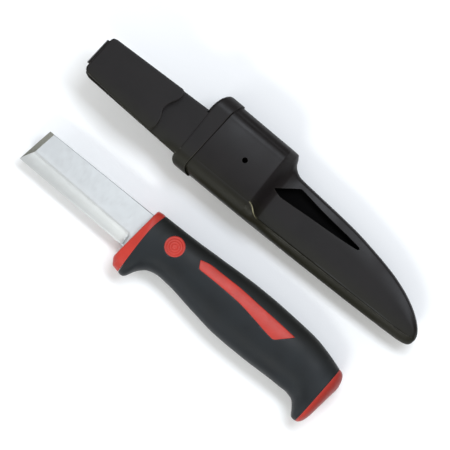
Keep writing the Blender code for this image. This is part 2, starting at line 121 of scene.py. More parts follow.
BORE_X = (-48.0, -24.0, -14.0, 0.0, 20.0, 45.0, 70.0, 80.0, 104.0)
BORE_LOWEST_Y = -47.0
BORE_GAP = 0.2
SLOT_GAP = (0.15, 0.12)                     # round the blade: along y, and in height
INSERT_EDGE = 0.35                          # rounding of the disc's and inlay's edges
CAP_EDGE = 0.3
SEAM = 0.14                                 # gap between the grip and its end pieces
COLLAR_LOW_EDGE = [(0.0, -37.4, -47.8), (0.36, -34.8, -51.5), (1.0, -30.8, -52.3)]
COLLAR_HIGH_FRONT = (-34.0, -15.2)
COLLAR_FRONT_HALF = 8.6
COLLAR_REAR_HALF = 10.0
CAP_DOME = [(0.0, 0.0), (0.5, 1.6), (2.0, 3.2), (5.0, 4.5), (9.5, 5.3)]   # (in, out)

# Outlines as (x, y, corner): corner is the radius of a rounded corner, and 0 where the
# outline runs smoothly through the point.
DISC_CENTRE = (-15.9, -23.8)
DISC_RADIUS = 5.45
INLAY = [(-1.5, -20.7, 0.8), (4.0, -19.4, 0), (13.0, -19.2, 0), (24.0, -19.1, 0),
         (36.0, -19.7, 0), (50.0, -20.4, 0), (61.3, -21.2, 0.5), (53.2, -29.3, 1.6),
         (47.0, -28.5, 0), (38.0, -26.9, 0), (28.0, -25.5, 0), (15.0, -24.9, 0),
         (0.9, -24.9, 0.9)]

# ---- blade
BLADE_END = ((-106.5, -38.8), (-103.0, -18.1))
EDGE_REAR = (-34.8, -40.5)
RIDGE = ((-104.0, -31.2), (-37.2, -33.5))
BEVEL_WIDTH = 7.3
BEVEL_HOLLOW = 0.3                          # how much of the bevel's fall comes early
PLUNGE = (-39.1, -37.5)
PLUNGE_SLANT = 0.13
EDGE_THICK = 0.15
CHISEL_WIDTH = 2.7
TANG = (-33.0, 60.0, -35.0, -24.6)          # x start, x end, low y, high y

# ---- sheath, as (station, value): a station is the distance along the sheath
MOUTH_X = -46.4
MOUTH_SETBACK = (2.9, 4.9)
BAND_END_X = (-38.0, -36.2)
BAND_END_SETBACK = (4.7, 3.4)
FLAT_TOP_Y = (13.2, 41.6)
BAND_GROWTH = (0.8, 0.8)                    # how far the band stands out on either side
BARREL_LOW_Y = 9.4
STRAIGHT_SIDE = [(-46.4, 9.4), (-0.4, 9.1), (50.0, 9.5), (100.0, 10.6), (104.0, 11.1),
                 (107.0, 12.1), (109.0, 13.8), (110.0, 15.9)]
STRAIGHT_X = [(100.0, 100.0), (104.0, 105.2), (107.0, 108.2), (109.0, 109.6), (110.0, 110.0)]
BELLY_SIDE = [(-46.4, 53.6), (-0.4, 52.9), (3.6, 52.8), (5.3, 50.9), (6.7, 47.9),
              (9.1, 45.7), (12.7, 44.2), (23.3, 43.3), (37.3, 42.3), (51.7, 41.0),
              (66.9, 38.6), (78.6, 36.2), (89.4, 32.9), (98.2, 28.9), (104.0, 24.9),
              (107.0, 21.4), (109.0, 18.8), (110.0, 17.1)]
BELLY_X = [(100.0, 100.0), (104.0, 104.2), (107.0, 107.9), (109.0, 109.5), (110.0, 110.0)]
TOP = [(-1.3, 14.0), (-0.6, 13.88), (0.1, 13.2), (6.2, 6.1), (8.0, 5.15), (11.0, 4.9),
       (100.0, 4.3), (106.0, 3.9), (109.0, 2.6), (110.0, 1.3)]
RIM = [(-1.0, 14.0), (3.0, 13.1), (8.0, 10.4), (14.0, 7.6), (22.0, 6.0), (34.0, 5.6),
       (100.0, 4.9), (106.0, 4.2), (109.0, 2.6), (110.0, 1.3)]
UNDER = [(-2.4, 14.0), (-0.8, 13.75), (0.5, 12.9), (6.4, 6.1), (8.4, 5.15), (11.5, 4.9),
         (100.0, 4.3), (106.0, 3.9), (109.0, 2.6), (110.0, 1.3)]
RIM_LIP = 0.6                               # rounding of the rim's inner edge at the shoulder
STRAIGHT_CORNER = [(-46.4, 8.5), (-0.2, 8.5), (2.0, 7.7), (5.0, 5.5), (7.6, 4.5), (12.0, 4.4)]
STRAIGHT_FULLNESS = [(0.0, 2.0), (12.0, 1.75), (30.0, 1.5)]
BELLY_CORNER = [(-46.4, 8.5), (-2.0, 8.5), (3.0, 7.0), (7.0, 4.0), (11.0, 2.4), (20.0, 1.9)]
BARREL_CROWN = 0.7
BARREL_GROOVE_Y = (50.7, 49.7)
BARREL_GROOVE_X = (-36.0, 0.8)
POCKET_FALL = [(0.0, 1.2), (26.0, 1.1), (50.0, 0.5)]     # of its face, towards the belly
WALL = 2.1
CAVITY_LEAD = 2.6                           # the cavity narrows this far ahead of the outside
ROUND_LIMIT = 8.5                           # largest rounding of the section's corners
ROUND_SHARE = 0.42                          # largest rounding, as a share of the width
RISE_SHARE = 0.92                           # and as a share of the height
WINDOW_DEPTH_Z = 0.6                        # the window and the vent are cut down to here
VENT_DEPTH_Z = 9.0
VENT_LIP = 0.3
CAVITY_END = 103.0
WINDOW = [(4.6, 31.5, 0.7), (16.0, 40.2, 1.2), (33.0, 37.9, 0), (55.8, 35.6, 0),
          (58.7, 34.5, 0), (55.8, 33.4, 0), (42.0, 32.1, 0), (27.0, 31.1, 0),
          (17.0, 30.3, 0), (9.8, 29.8, 1.2)]
VENT_CENTRE = (-15.8, 33.1)
VENT_RADIUS = 1.5

# ---- belt clip
STRAP = [(-108.1, 19.6, 0), (-107.2, 16.9, 0), (-104.6, 15.6, 0.8), (-45.0, 13.0, 0.3),
         (-45.0, 41.6, 0.3), (-104.6, 39.5, 0.8), (-106.4, 38.8, 0), (-107.2, 36.8, 0.4)]
STRAP_THICK = 2.4
TONGUE = [(-108.6, 21.4, 0.4), (-108.5, 19.3, 0), (-107.2, 17.5, 0), (-105.0, 16.9, 0.4),
          (-65.2, 14.1, 0.6), (-63.1, 14.9, 0), (-62.0, 18.8, 0), (-62.7, 23.2, 0),
          (-64.4, 27.4, 0), (-63.6, 31.6, 0), (-61.4, 35.6, 0), (-60.8, 39.4, 0),
          (-62.6, 41.4, 0.6), (-104.7, 39.9, 0.6), (-106.2, 39.5, 0), (-107.1, 38.7, 0),
          (-107.6, 37.0, 0.4)]
WEB_Y = (21.3, 36.9)
WEB_LEAN = 1.0
WEB_THICK = 1.0
WEB_FOLD_X = -108.9
WEB_ROOT = 1.6

# ---- studio
FLOOR_GAP = 0.12                            # between the lowest CAD face and the floor
CAMERA_OVER = (-2.93 * MM, 1.0 * MM)        # the point that the camera stands above
SOFTBOXES = [                               # name, place, target, size, power, tint
    ("key", (-0.50, -1.10, 0.52), (0.0, 0.0, 0.0), (1.0, 0.6), 6.0, (0.93, 0.97, 1.0)),
    ("overhead", (0.05, 0.48, 1.15), (0.0, 0.03, 0.0), (0.7, 0.3), 9.5, (0.86, 0.92, 1.0)),
    ("side", (0.30, -0.72, 0.82), (-0.02, 0.0, 0.0), (0.34, 0.16), 3.0, (0.96, 0.98, 0.93)),
]


SHOULDER_GLINT = (0.36, 0.33, 0.20, 1.0)     # painted glint on the shoulder's corner, pale like bare plastic

# ---- how sharply an edge must turn, per millimetre, before it looks worn and takes a painted glint
WEAR_FROM = 0.9
WEAR_SPAN = 2.2


# ------------------------------------------------------------------ settings

def length(name, note, default):
    return FloatProperty(name=name, description=note, default=default * MM, min=0.0,
                         unit="LENGTH", precision=5)


def colour(name, note, default):
    return FloatVectorProperty(name=name, description=note, default=default, size=3,
                               min=0.0, max=1.0, subtype="COLOR")


def share(name, note, default):
    return FloatProperty(name=name, description=note, default=default, min=0.0, max=1.0,
                         subtype="FACTOR")


class BladeSettings(PropertyGroup):
    steel: colour("Steel", "Colour of the ground steel", (0.61, 0.63, 0.635))
    end_bevel: colour("End bevel", "Colour of the coarse ground end bevel", (0.27, 0.27, 0.235))
    roughness: share("Roughness", "Roughness of the satin faces", 0.34)
    ridge_softness: length("Ridge softness", "Half width of the rounded ridge", 0.9)
    micro_bevel: length("Micro bevel", "Width of the honed strip at the edge", 0.55)
    edge_break: length("Edge break", "Chamfer along the spine", 0.3)


class HandleSettings(PropertyGroup):
    rubber: colour("Rubber", "Colour of the grip", (0.0075, 0.0098, 0.0118))
    red: colour("Red", "Colour of the collar, disc, inlay and cap", (0.46, 0.038, 0.026))
    red_roughness: share("Red roughness", "Roughness of the red plastic", 0.42)
    lip: length("Window lip", "Rounding of the grip where it meets an insert", 0.35)
    insert_gap: length("Insert gap", "Gap between the grip and an insert", 0.12)
    insert_rise: length("Insert rise", "How far an insert stands proud of the grip", 0.12)
    ring_count: IntProperty(name="Rings", description="Raised rings on the disc",
                            default=3, min=0, max=6)
    ring_depth: length("Ring depth", "Depth of the grooves between the rings", 0.28)
    interface_bow: length("Collar bow", "How far the collar's rear edge bows forward", 2.0)


class SheathSettings(PropertyGroup):
    plastic: colour("Plastic", "Colour of the moulded sheath", (0.0062, 0.0047, 0.0047))
    roughness: share("Roughness", "Roughness of the moulded faces", 0.42)
    window_lip: length("Window lip", "Rounding of the window's rim", 0.5)
    groove: length("Side groove", "Depth of the groove along the barrel", 0.35)
    edge_round: length("Clip edge", "Rounding of the belt clip's edges", 0.55)


class StudioSettings(PropertyGroup):
    floor: colour("Floor", "Colour of the pale floor", (0.93, 0.93, 0.93))
    camera_height: FloatProperty(name="Camera height", description="Height above the floor",
                                 default=2.6, min=0.5, unit="LENGTH")
    frame_width: FloatProperty(name="Frame width", default=0.2313, min=0.05, unit="LENGTH",
                               description="Width that the camera takes in at the object")
    turn: FloatProperty(name="Turn", description="How far the camera is turned",
                        default=radians(39.0), subtype="ANGLE")


class KnifeSettings(PropertyGroup):
    blade: PointerProperty(type=BladeSettings, name="Blade", description="Blade")
    handle: PointerProperty(type=HandleSettings, name="Handle", description="Handle")
    sheath: PointerProperty(type=SheathSettings, name="Sheath", description="Sheath")
    studio: PointerProperty(type=StudioSettings, name="Studio", description="Studio")


# ------------------------------------------------------------------ curves and outlines

def mix(a, b, t):
    return a + (b - a) * t


def ease(t):
    """Smooth step from 0 to 1."""
    t = min(1.0, max(0.0, t))
    return t * t * (3.0 - 2.0 * t)


def along(points, x, flowing=False):
    """Value at x of a smooth curve through (x, value) points.

    A flowing curve bends evenly through its points; any other never overshoots them.
    """
    if x <= points[0][0]:
        return points[0][1]
    if x >= points[-1][0]:
        return points[-1][1]
    runs = [b[0] - a[0] for a, b in zip(points, points[1:])]
    slopes = [(b[1] - a[1]) / run for a, b, run in zip(points, points[1:], runs)]
    tangents = [slopes[0]]
    for k in range(1, len(slopes)):
        before, after = slopes[k - 1], slopes[k]
        if flowing:
            share_after = runs[k - 1] / (runs[k - 1] + runs[k])
            tangents.append(mix(before, after, share_after))
        elif before * after > 0.0:
            tangents.append(2.0 * before * after / (before + after))
        else:
            tangents.append(0.0)
    tangents.append(slopes[-1])
    i = next(k for k, point in enumerate(points[1:]) if x <= point[0])
    (x0, y0), (x1, y1) = points[i], points[i + 1]
    span = x1 - x0
    t = (x - x0) / span
    keep = 1.0 - t
    return (y0 * (1.0 + 2.0 * t) * keep * keep + y1 * t * t * (3.0 - 2.0 * t)
            + tangents[i] * span * t * keep * keep - tangents[i + 1] * span * t * t * keep)


def outline(knots, step):
    """Closed outline through (x, y, corner) knots, with a point about every step."""
    count = len(knots)
    points = []
    for i in range(count):
        before, here, after, later = (knots[(i + k) % count] for k in (-1, 0, 1, 2))
        start, end = Vector(here[:2]), Vector(after[:2])
        chord = end - start
        way = chord.normalized()
        first, last = start + way * here[2], end - way * after[2]
        if here[2]:
            arrive = start - (start - Vector(before[:2])).normalized() * here[2]
            for k in range(5):
                t = k / 5.0
                points.append(arrive.lerp(start, t).lerp(start.lerp(first, t), t))
        reach = (last - first).length
        start_way = way if here[2] else (end - Vector(before[:2])).normalized()
        end_way = way if after[2] else (Vector(later[:2]) - start).normalized()
        pieces = max(2, round(reach / step))
        for k in range(pieces):
            t = k / pieces
            keep = 1.0 - t
            points.append(first * ((1.0 + 2.0 * t) * keep * keep)
                          + last * (t * t * (3.0 - 2.0 * t))
                          + start_way * (reach * t * keep * keep)
                          - end_way * (reach * t * t * keep))
    return points


def circle(centre, radius, count):
    turns = [2.0 * pi * i / count for i in range(count)]
    return [Vector((centre[0] + radius * cos(a), centre[1] + radius * sin(a))) for a in turns]


def turning(points):
    """+1 for an outline that runs anticlockwise, -1 for a clockwise one."""
    area = sum(a.x * b.y - b.x * a.y for a, b in zip(points, points[1:] + points[:1]))
    return copysign(1.0, area)


def grown(points, distance):
    """The outline moved outwards, or inwards where distance is negative."""
    side = turning(points)
    result = []
    for i, point in enumerate(points):
        way = (points[(i + 1) % len(points)] - points[i - 1]).normalized()
        result.append(point + Vector((way.y, -way.x)) * (distance * side))
    return result


def spread(spans):
    """Stations from (start, end, step) stretches that follow each other."""
    stations = []
    for start, end, step in spans:
        pieces = max(1, round(abs(end - start) / step))
        stations += [mix(start, end, k / pieces) for k in range(pieces)]
    return stations + [spans[-1][1]]


def oval(low, high, half, power, shrink=0.0):
    """Oval loop through two edge points (x, y), swelling half each way in height."""
    low, high = Vector(low), Vector(high)
    way = (high - low).normalized() * shrink
    low, high = low + way, high - way
    loop = []
    for i in range(OVAL_POINTS):
        angle = 2.0 * pi * i / OVAL_POINTS
        across = copysign(abs(cos(angle)) ** (2.0 / power), cos(angle))
        up = copysign(abs(sin(angle)) ** (2.0 / power), sin(angle))
        place = low.lerp(high, 0.5 + 0.5 * across)
        loop.append(Vector((place.x, place.y, (half - shrink) * up)))
    return loop


def quarter(radius, steps=4):
    """(in, along) of a quarter round, from an end face out to the side."""
    turns = [pi / 2.0 * k / steps for k in range(steps + 1)]
    return [(radius * (1.0 - sin(a)), radius * (1.0 - cos(a))) for a in turns]


# ------------------------------------------------------------------ meshes

def skin(shape, rows):
    """Closed form over rows of points, each row a loop with the same number of points."""
    down, across = len(rows) - 1, len(rows[0])
    made = bmesh.ops.create_grid(shape, x_segments=down, y_segments=across, size=1.0)
    for vert in made["verts"]:
        row = round((vert.co.x + 1.0) / 2.0 * down)
        place = round((vert.co.y + 1.0) / 2.0 * across) % across
        vert.co = rows[row][place]
    bmesh.ops.remove_doubles(shape, verts=made["verts"], dist=0.0001)
    rims = [edge for edge in shape.edges if edge.is_boundary]
    bmesh.ops.holes_fill(shape, edges=rims)
    bmesh.ops.recalc_face_normals(shape, faces=shape.faces)
    if shape.calc_volume(signed=True) < 0.0:
        bmesh.ops.reverse_faces(shape, faces=shape.faces)


def level(points, height):
    return [Vector((point.x, point.y, height)) for point in points]


def plate(shape, points, z_low, z_high, edge):
    """Flat plate with its edges rounded all round."""
    turns = [(edge + 0.5, 0.0)] + quarter(edge)
    rows = [level(grown(points, -inward), z_low + up) for inward, up in turns]
    rows += [level(grown(points, -inward), z_high - up) for inward, up in turns[::-1]]
    skin(shape, rows)


def dice(shape, pitch):
    """Cut every face into cells along x and y, so that it can follow a curved surface."""
    for axis in range(2):
        values = [vert.co[axis] for vert in shape.verts]
        place = min(values) + pitch
        while place < max(values) - 0.4 * pitch:
            point, normal = Vector(), Vector()
            point[axis] = place
            normal[axis] = 1.0
            everything = shape.verts[:] + shape.edges[:] + shape.faces[:]
            bmesh.ops.bisect_plane(shape, geom=everything, dist=0.00001, plane_co=point,
                                   plane_no=normal)
            place += pitch


def drape(shape, surface, floor):
    """Lay a flat form on a surface: heights from -1 up count from it, and the rest go to floor."""
    for vert in shape.verts:
        if vert.co.z < -1.5:
            vert.co.z = floor
            continue
        hit = surface.ray_cast(Vector((vert.co.x, vert.co.y, 60.0)), Vector((0.0, 0.0, -1.0)))
        vert.co.z += hit[0].z if hit[0] else 0.0


def turned_over(shape):
    """The same form on the far side of the middle plane."""
    bmesh.ops.scale(shape, vec=(1.0, 1.0, -1.0), verts=shape.verts)
    bmesh.ops.reverse_faces(shape, faces=shape.faces)


def surface_of(rows):
    shape = bmesh.new()
    skin(shape, rows)
    tree = BVHTree.FromBMesh(shape)
    shape.free()
    return tree


def make_object(name, shape, mid_z):
    """Turn a form in millimetres round mid_z into an object in metres at the origin."""
    bmesh.ops.translate(shape, vec=(0.0, 0.0, mid_z), verts=shape.verts)
    bmesh.ops.scale(shape, vec=(MM, MM, MM), verts=shape.verts)
    mesh = bpy.data.meshes.new(name)
    shape.to_mesh(mesh)
    shape.free()
    item = bpy.data.objects.new(name, mesh)
    bpy.context.scene.collection.objects.link(item)
    return item


def lift_by(height):
    return Matrix.Translation((0.0, 0.0, height * MM))


def cut(item, tools):
    """Cut the tools away from a piece, apply the cuts and remove the tools."""
    for tool in tools:
        step = item.modifiers.new(tool.name, "BOOLEAN")
        step.operation = "DIFFERENCE"
        step.solver = "EXACT"
        step.object = tool
    bpy.context.view_layer.update()
    evaluated = item.evaluated_get(bpy.context.evaluated_depsgraph_get())
    item.data = bpy.data.meshes.new_from_object(evaluated)
    item.modifiers.clear()
    for tool in tools:
        bpy.data.objects.remove(tool, do_unlink=True)


def mark_edge_sharpness(mesh):
    """Store how sharply each point stands out, for finishes whose edges look worn and take a
    painted glint.
    """
    shape = bmesh.new()
    shape.from_mesh(mesh)
    values = []
    for vert in shape.verts:
        across = [edge.calc_face_angle_signed(0.0) for edge in vert.link_edges]
        reach = min((edge.calc_length() / MM for edge in vert.link_edges), default=1.0)
        sharp = max(across, default=0.0) / max(0.12, min(reach, 0.6))
        values.append(ease((sharp - WEAR_FROM) / WEAR_SPAN))
    shape.free()
    layer = mesh.attributes.new("wear_and_glint", "FLOAT", "POINT")
    layer.data.foreach_set("value", values)


def finish_piece(item, body, finishes, stands_for=(), crease=30.0):
    """Shade a piece, give it its finishes, tie it to its body, and hide the frame parts that it
    stands for.
    """
    mark_edge_sharpness(item.data)
    item.data.shade_smooth()
    item.data.set_sharp_from_angle(angle=radians(crease))
    for finish in finishes:
        item.data.materials.append(finish)
    if body:
        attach(item, body)
    if stands_for:
        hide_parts(*stands_for)


# ------------------------------------------------------------------ finishes

class Finish:
    """A material being wired: its nodes, its shader and the object's coordinates."""

    def __init__(self, name, base, roughness):
        self.material = bpy.data.materials.new(name)
        self.material.use_nodes = True
        self.tree = self.material.node_tree
        self.shader = self.tree.nodes["Principled BSDF"]
        self.base = tuple(base) + (1.0,)
        self.shader.inputs["Base Color"].default_value = self.base
        self.shader.inputs["Roughness"].default_value = roughness
        self.material.diffuse_color = self.base
        self.place = self.node("TexCoord").outputs["Object"]

    def node(self, kind, **values):
        made = self.tree.nodes.new("ShaderNode" + kind)
        for key, value in values.items():
            setattr(made, key, value)
        return made

    def feed(self, node, **sources):
        """Set or link a node's inputs by name, with _ for a space."""
        for key, source in sources.items():
            self.put(node.inputs[key.replace("_", " ")], source)
        return node

    def put(self, socket, source):
        """Link the source to a socket, or set the socket where the source is a value."""
        if isinstance(source, bpy.types.NodeSocket):
            self.tree.links.new(source, socket)
        else:
            socket.default_value = source

    def stretched(self, scale, turn=0.0):
        mapping = self.node("Mapping")
        return self.feed(mapping, Vector=self.place, Scale=scale,
                         Rotation=(0.0, 0.0, turn)).outputs["Vector"]

    def noise(self, scale, detail=3.0, vector=None, roughness=0.5):
        texture = self.node("TexNoise")
        self.feed(texture, Vector=vector or self.place, Scale=scale, Detail=detail,
                  Roughness=roughness)
        return texture.outputs["Fac"]

    def remap(self, source, low, high, to_low, to_high):
        made = self.node("MapRange")
        made.interpolation_type = "SMOOTHSTEP"
        for index, value in enumerate((source, low, high, to_low, to_high)):
            self.put(made.inputs[index], value)
        return made.outputs["Result"]

    def axis(self, letter):
        return self.feed(self.node("SeparateXYZ"), Vector=self.place).outputs[letter]

    def blend(self, factor, first, second):
        made = self.node("Mix", data_type="RGBA")
        for index, value in ((0, factor), (6, first), (7, second)):
            self.put(made.inputs[index], value)
        return made.outputs[2]

    def measured(self, operation, other):
        """Dot product with a direction, or distance from a point, in metres."""
        made = self.node("VectorMath", operation=operation)
        self.put(made.inputs[0], self.place)
        self.put(made.inputs[1], other)
        return made.outputs["Value"]

    def edges(self):
        return self.node("Attribute", attribute_name="wear_and_glint").outputs["Fac"]

    def wear_and_glint(self):
        """How worn each point is, and where it takes a painted glint: its edges, broken up by
        patches.
        """
        patches = self.noise(260.0, 4.0, roughness=0.6)
        return self.remap(self.edges(), self.remap(patches, 0.35, 0.65, 0.5, 0.0), 1.0, 0.0, 1.0)

    def shade(self, factor):
        """The base colour made lighter or darker."""
        return self.tinted(factor, factor, factor)

    def tinted(self, *factors):
        """The base colour with its red, green and blue each scaled."""
        scaled = [min(1.0, value * factor) for value, factor in zip(self.base, factors)]
        return (*scaled, 1.0)

    def bumps(self, *layers):
        """Stack bump layers of (height, strength, distance) onto the shader."""
        normal = None
        for height, strength, distance in layers:
            bump = self.feed(self.node("Bump"), Height=height, Strength=strength,
                             Distance=distance)
            if normal:
                self.tree.links.new(normal, bump.inputs["Normal"])
            normal = bump.outputs["Normal"]
        self.tree.links.new(normal, self.shader.inputs["Normal"])


def steel_finish(settings):
    """Satin ground steel: fine cross-grain, faint long waves, a few marks, painted shade towards
    the blade's end and a painted highlight strip above the ridge.
    """
    finish = Finish("satin_steel", settings.steel, settings.roughness)
    finish.shader.inputs["Metallic"].default_value = 1.0
    grain = finish.noise(240.0, 4.0, finish.stretched((26.0, 1.0, 1.0), radians(3.0)))
    scuffs = finish.noise(170.0, 2.0, finish.stretched((1.0, 9.0, 1.0), radians(18.0)))
    cloud = finish.noise(38.0, 2.0)
    tone = finish.remap(cloud, 0.3, 0.7, 0.0, 1.0)
    body = finish.blend(tone, finish.shade(0.97), finish.shade(1.03))
    # painted shade: the steel is darkened towards the blade's end
    end_shade = finish.remap(finish.axis("X"), -0.108, -0.050, 0.75, 0.0)
    body = finish.blend(end_shade, body, finish.shade(0.90))
    # painted highlight: a pale strip just above the ridge, where the rounded ridge catches the
    # light
    (x0, y0), (x1, y1) = RIDGE
    tilt = (y0 - y1) / (x1 - x0)
    above = finish.measured("DOT_PRODUCT", (tilt, 1.0, 0.0))
    ridge = (y0 + tilt * x0) * MM
    ridge_highlight = finish.blend(finish.remap(above, ridge, ridge + 0.0042, 0.9, 0.0), body,
                          finish.shade(1.13))
    body = finish.blend(finish.remap(above, ridge - 0.0007, ridge, 0.0, 1.0), body, ridge_highlight)
    streak = finish.remap(grain, 0.35, 0.7, 0.0, 0.16)
    finish.feed(finish.shader, Base_Color=finish.blend(streak, body, finish.shade(0.86)),
                Roughness=finish.remap(grain, 0.3, 0.7, settings.roughness - 0.05,
                                       settings.roughness + 0.07))
    finish.bumps((grain, 0.10, 0.00004), (scuffs, 0.05, 0.00003))
    return finish.material


def end_bevel_finish(settings):
    """Coarser ground steel of the end bevel, dark with deep grinding lines, with painted shading
    that makes it darker towards the edge and lighter towards the spine.
    """
    finish = Finish("ground_end_bevel", settings.end_bevel, 0.42)
    finish.shader.inputs["Metallic"].default_value = 1.0
    lines = finish.noise(420.0, 3.0, finish.stretched((1.0, 14.0, 1.0), radians(10.0)))
    # painted light and shade: darker towards the edge, lighter towards the spine
    bevel_shading = finish.remap(finish.axis("Y"), -0.0385, -0.0200, 0.0, 1.0)
    body = finish.blend(bevel_shading, finish.shade(0.75), finish.shade(1.35))
    finish.feed(finish.shader, Base_Color=finish.blend(finish.remap(lines, 0.3, 0.7, 0.0, 0.5),
                                                       body, finish.shade(1.7)),
                Roughness=finish.remap(lines, 0.3, 0.7, 0.34, 0.5))
    finish.bumps((lines, 0.35, 0.00008))
    return finish.material


def red_finish(settings):
    """Moulded red plastic: fine orange-peel, slight depth in the colour, light scuffs, painted
    shade at the butt end, and worn edges that take a painted glint.
    """
    finish = Finish("red_plastic", settings.red, settings.red_roughness)
    finish.shader.inputs["Specular IOR Level"].default_value = 0.22
    peel = finish.noise(2600.0, 2.0)
    cloud = finish.noise(90.0, 3.0)
    scuffs = finish.noise(420.0, 5.0, finish.stretched((1.0, 6.0, 1.0), radians(35.0)), 0.7)
    body = finish.blend(finish.remap(cloud, 0.3, 0.7, 0.0, 1.0), finish.shade(0.90),
                        finish.shade(1.08))
    # painted shade: the red is darkened over the butt end, where the cap faces away from the light
    butt = finish.remap(finish.axis("X"), 0.0875, 0.0925, 0.0, 0.9)
    body = finish.blend(butt, body, finish.shade(0.55))
    worn = finish.remap(scuffs, 0.62, 0.78, 0.0, 0.35)
    pale = tuple(mix(value, 0.8, 0.18) for value in finish.base[:3]) + (1.0,)
    # worn edges and painted glint: sharp edges turn paler, for rubbing and for the glints they
    # catch
    edge_rub_and_glint = finish.remap(finish.wear_and_glint(), 0.0, 1.0, 0.0, 0.22)
    body = finish.blend(edge_rub_and_glint, body, pale)
    finish.feed(finish.shader, Base_Color=finish.blend(worn, body, pale),
                Roughness=finish.remap(scuffs, 0.4, 0.75, settings.red_roughness - 0.04,
                                       settings.red_roughness + 0.12))
    finish.bumps((peel, 0.16, 0.00006), (cloud, 0.05, 0.0004))
    return finish.material


def rubber_finish(settings):
    """Soft grip rubber: fine stipple, a bluish bloom, dull patches worn by handling, a painted
    warm light tone along the back, and worn edges that take a painted glint.
    """
    finish = Finish("grip_rubber", settings.rubber, 0.52)
    finish.shader.inputs["Specular IOR Level"].default_value = 0.24
    finish.shader.inputs["Sheen Weight"].default_value = 0.02
    finish.shader.inputs["Sheen Roughness"].default_value = 0.4
    stipple = finish.noise(3400.0, 2.0)
    # dull patches worn by handling
    uneven_weight = finish.noise(55.0, 4.0)
    dust = finish.noise(900.0, 6.0, roughness=0.75)
    body = finish.blend(finish.remap(uneven_weight, 0.35, 0.65, 0.0, 1.0), finish.shade(0.82),
                        finish.shade(1.2))
    # painted light: a warmer tone along the grip's back, where the light falls on it
    back = finish.remap(finish.axis("Y"), -0.030, -0.014, 0.0, 0.9)
    toned = finish.blend(back, body, finish.tinted(1.25, 1.0, 0.72))
    speck = finish.remap(dust, 0.66, 0.8, 0.0, 0.25)
    # worn edges and painted glint: sharp edges much paler
    toned = finish.blend(finish.wear_and_glint(), toned, finish.shade(3.2))
    finish.feed(finish.shader, Base_Color=finish.blend(speck, toned, finish.shade(2.6)),
                Roughness=finish.remap(uneven_weight, 0.3, 0.7, 0.47, 0.58))
    finish.bumps((stipple, 0.30, 0.00008), (uneven_weight, 0.05, 0.0006))
    return finish.material


def sheath_finish(settings):
    """Textured moulded plastic: spark-eroded grain, cool top tone, a painted olive highlight along
    the low side, and worn edges that take a painted glint.
    """
    finish = Finish("sheath_plastic", settings.plastic, settings.roughness)
    finish.shader.inputs["Specular IOR Level"].default_value = 0.20
    grain = finish.noise(2300.0, 4.0, roughness=0.65)
    pits = finish.node("TexVoronoi")
    finish.feed(pits, Vector=finish.place, Scale=2900.0)
    cloud = finish.noise(48.0, 3.0)
    scuffs = finish.noise(300.0, 6.0, finish.stretched((1.0, 5.0, 1.0), radians(-24.0)), 0.7)
    # painted highlight: an olive tone along the low, straight side, where the side light is
    # reflected
    olive = finish.tinted(1.7, 2.15, 0.85)
    low_side = finish.remap(finish.axis("Y"), 0.011, 0.024, 0.85, 0.0)
    body = finish.blend(finish.remap(cloud, 0.35, 0.65, 0.0, 1.0), finish.shade(0.86),
                        finish.shade(1.16))
    toned = finish.blend(low_side, body, olive)
    worn = finish.remap(scuffs, 0.64, 0.8, 0.0, 0.3)
    toned = finish.blend(worn, toned, finish.shade(3.0))
    # worn edges and painted glint: paler edges, strongest on the low, straight side, where the
    # lights catch them
    uneven_weight = finish.remap(finish.axis("Y"), 0.016, 0.034, 0.9, 0.18)
    burnish_and_glint = finish.blend(finish.wear_and_glint(), toned, (0.052, 0.049, 0.038, 1.0))
    shown = finish.blend(uneven_weight, toned, burnish_and_glint)
    # painted glint: pale colour on the sharp edges near the shoulder's corner
    reach = finish.measured("DISTANCE", (0.0030, 0.0155, SHEATH_MID_Z * MM + 0.0125))
    shine = finish.node("Math", operation="MULTIPLY")
    finish.put(shine.inputs[0], finish.remap(reach, 0.0015, 0.0062, 1.0, 0.0))
    finish.put(shine.inputs[1], finish.remap(finish.edges(), 0.05, 0.45, 0.0, 1.0))
    finish.feed(finish.shader, Base_Color=finish.blend(shine.outputs[0], shown, SHOULDER_GLINT),
                Roughness=finish.remap(cloud, 0.3, 0.7, settings.roughness - 0.04,
                                       settings.roughness + 0.08))
    finish.bumps((grain, 0.32, 0.00010), (pits.outputs["Distance"], 0.12, 0.00005))
    return finish.material


def cavity_finish(settings):
    """The sheath's unpolished inside: the same plastic, matt, with its colour darkened as painted
    deep shade.
    """
    # painted shade: far darker than the outside plastic
    finish = Finish("sheath_inside", (0.0014, 0.0012, 0.0013), 0.8)
    finish.shader.inputs["Specular IOR Level"].default_value = 0.05
    cloud = finish.noise(60.0, 3.0)
    finish.feed(finish.shader, Base_Color=finish.blend(cloud, finish.shade(0.8),
                                                       finish.shade(1.3)),
                Roughness=finish.remap(cloud, 0.3, 0.7, settings.roughness + 0.3, 0.85))
    finish.bumps((finish.noise(1500.0, 3.0), 0.2, 0.0001))
    return finish.material


def floor_finish(settings):
    finish = Finish("pale_floor", settings.floor, 0.9)
    cloud = finish.noise(9.0, 2.0)
    finish.feed(finish.shader, Base_Color=finish.blend(cloud, finish.shade(0.99),
                                                       finish.shade(1.01)))
    return finish.material


FINISHES = {}


def finish_named(name, maker, settings):
    """Each finish is made once and shared by the pieces that have it."""
    if name not in FINISHES:
        FINISHES[name] = maker(settings)
    return FINISHES[name]


def steel(settings):
    return [finish_named("steel", steel_finish, settings.blade),
            finish_named("end_bevel", end_bevel_finish, settings.blade)]


def red(settings):
    return [finish_named("red", red_finish, settings.handle)]


def rubber(settings):
    return [finish_named("rubber", rubber_finish, settings.handle)]


def sheath_plastic(settings):
    return [finish_named("sheath", sheath_finish, settings.sheath),
            finish_named("cavity", cavity_finish, settings.sheath)]


# ------------------------------------------------------------------ blade

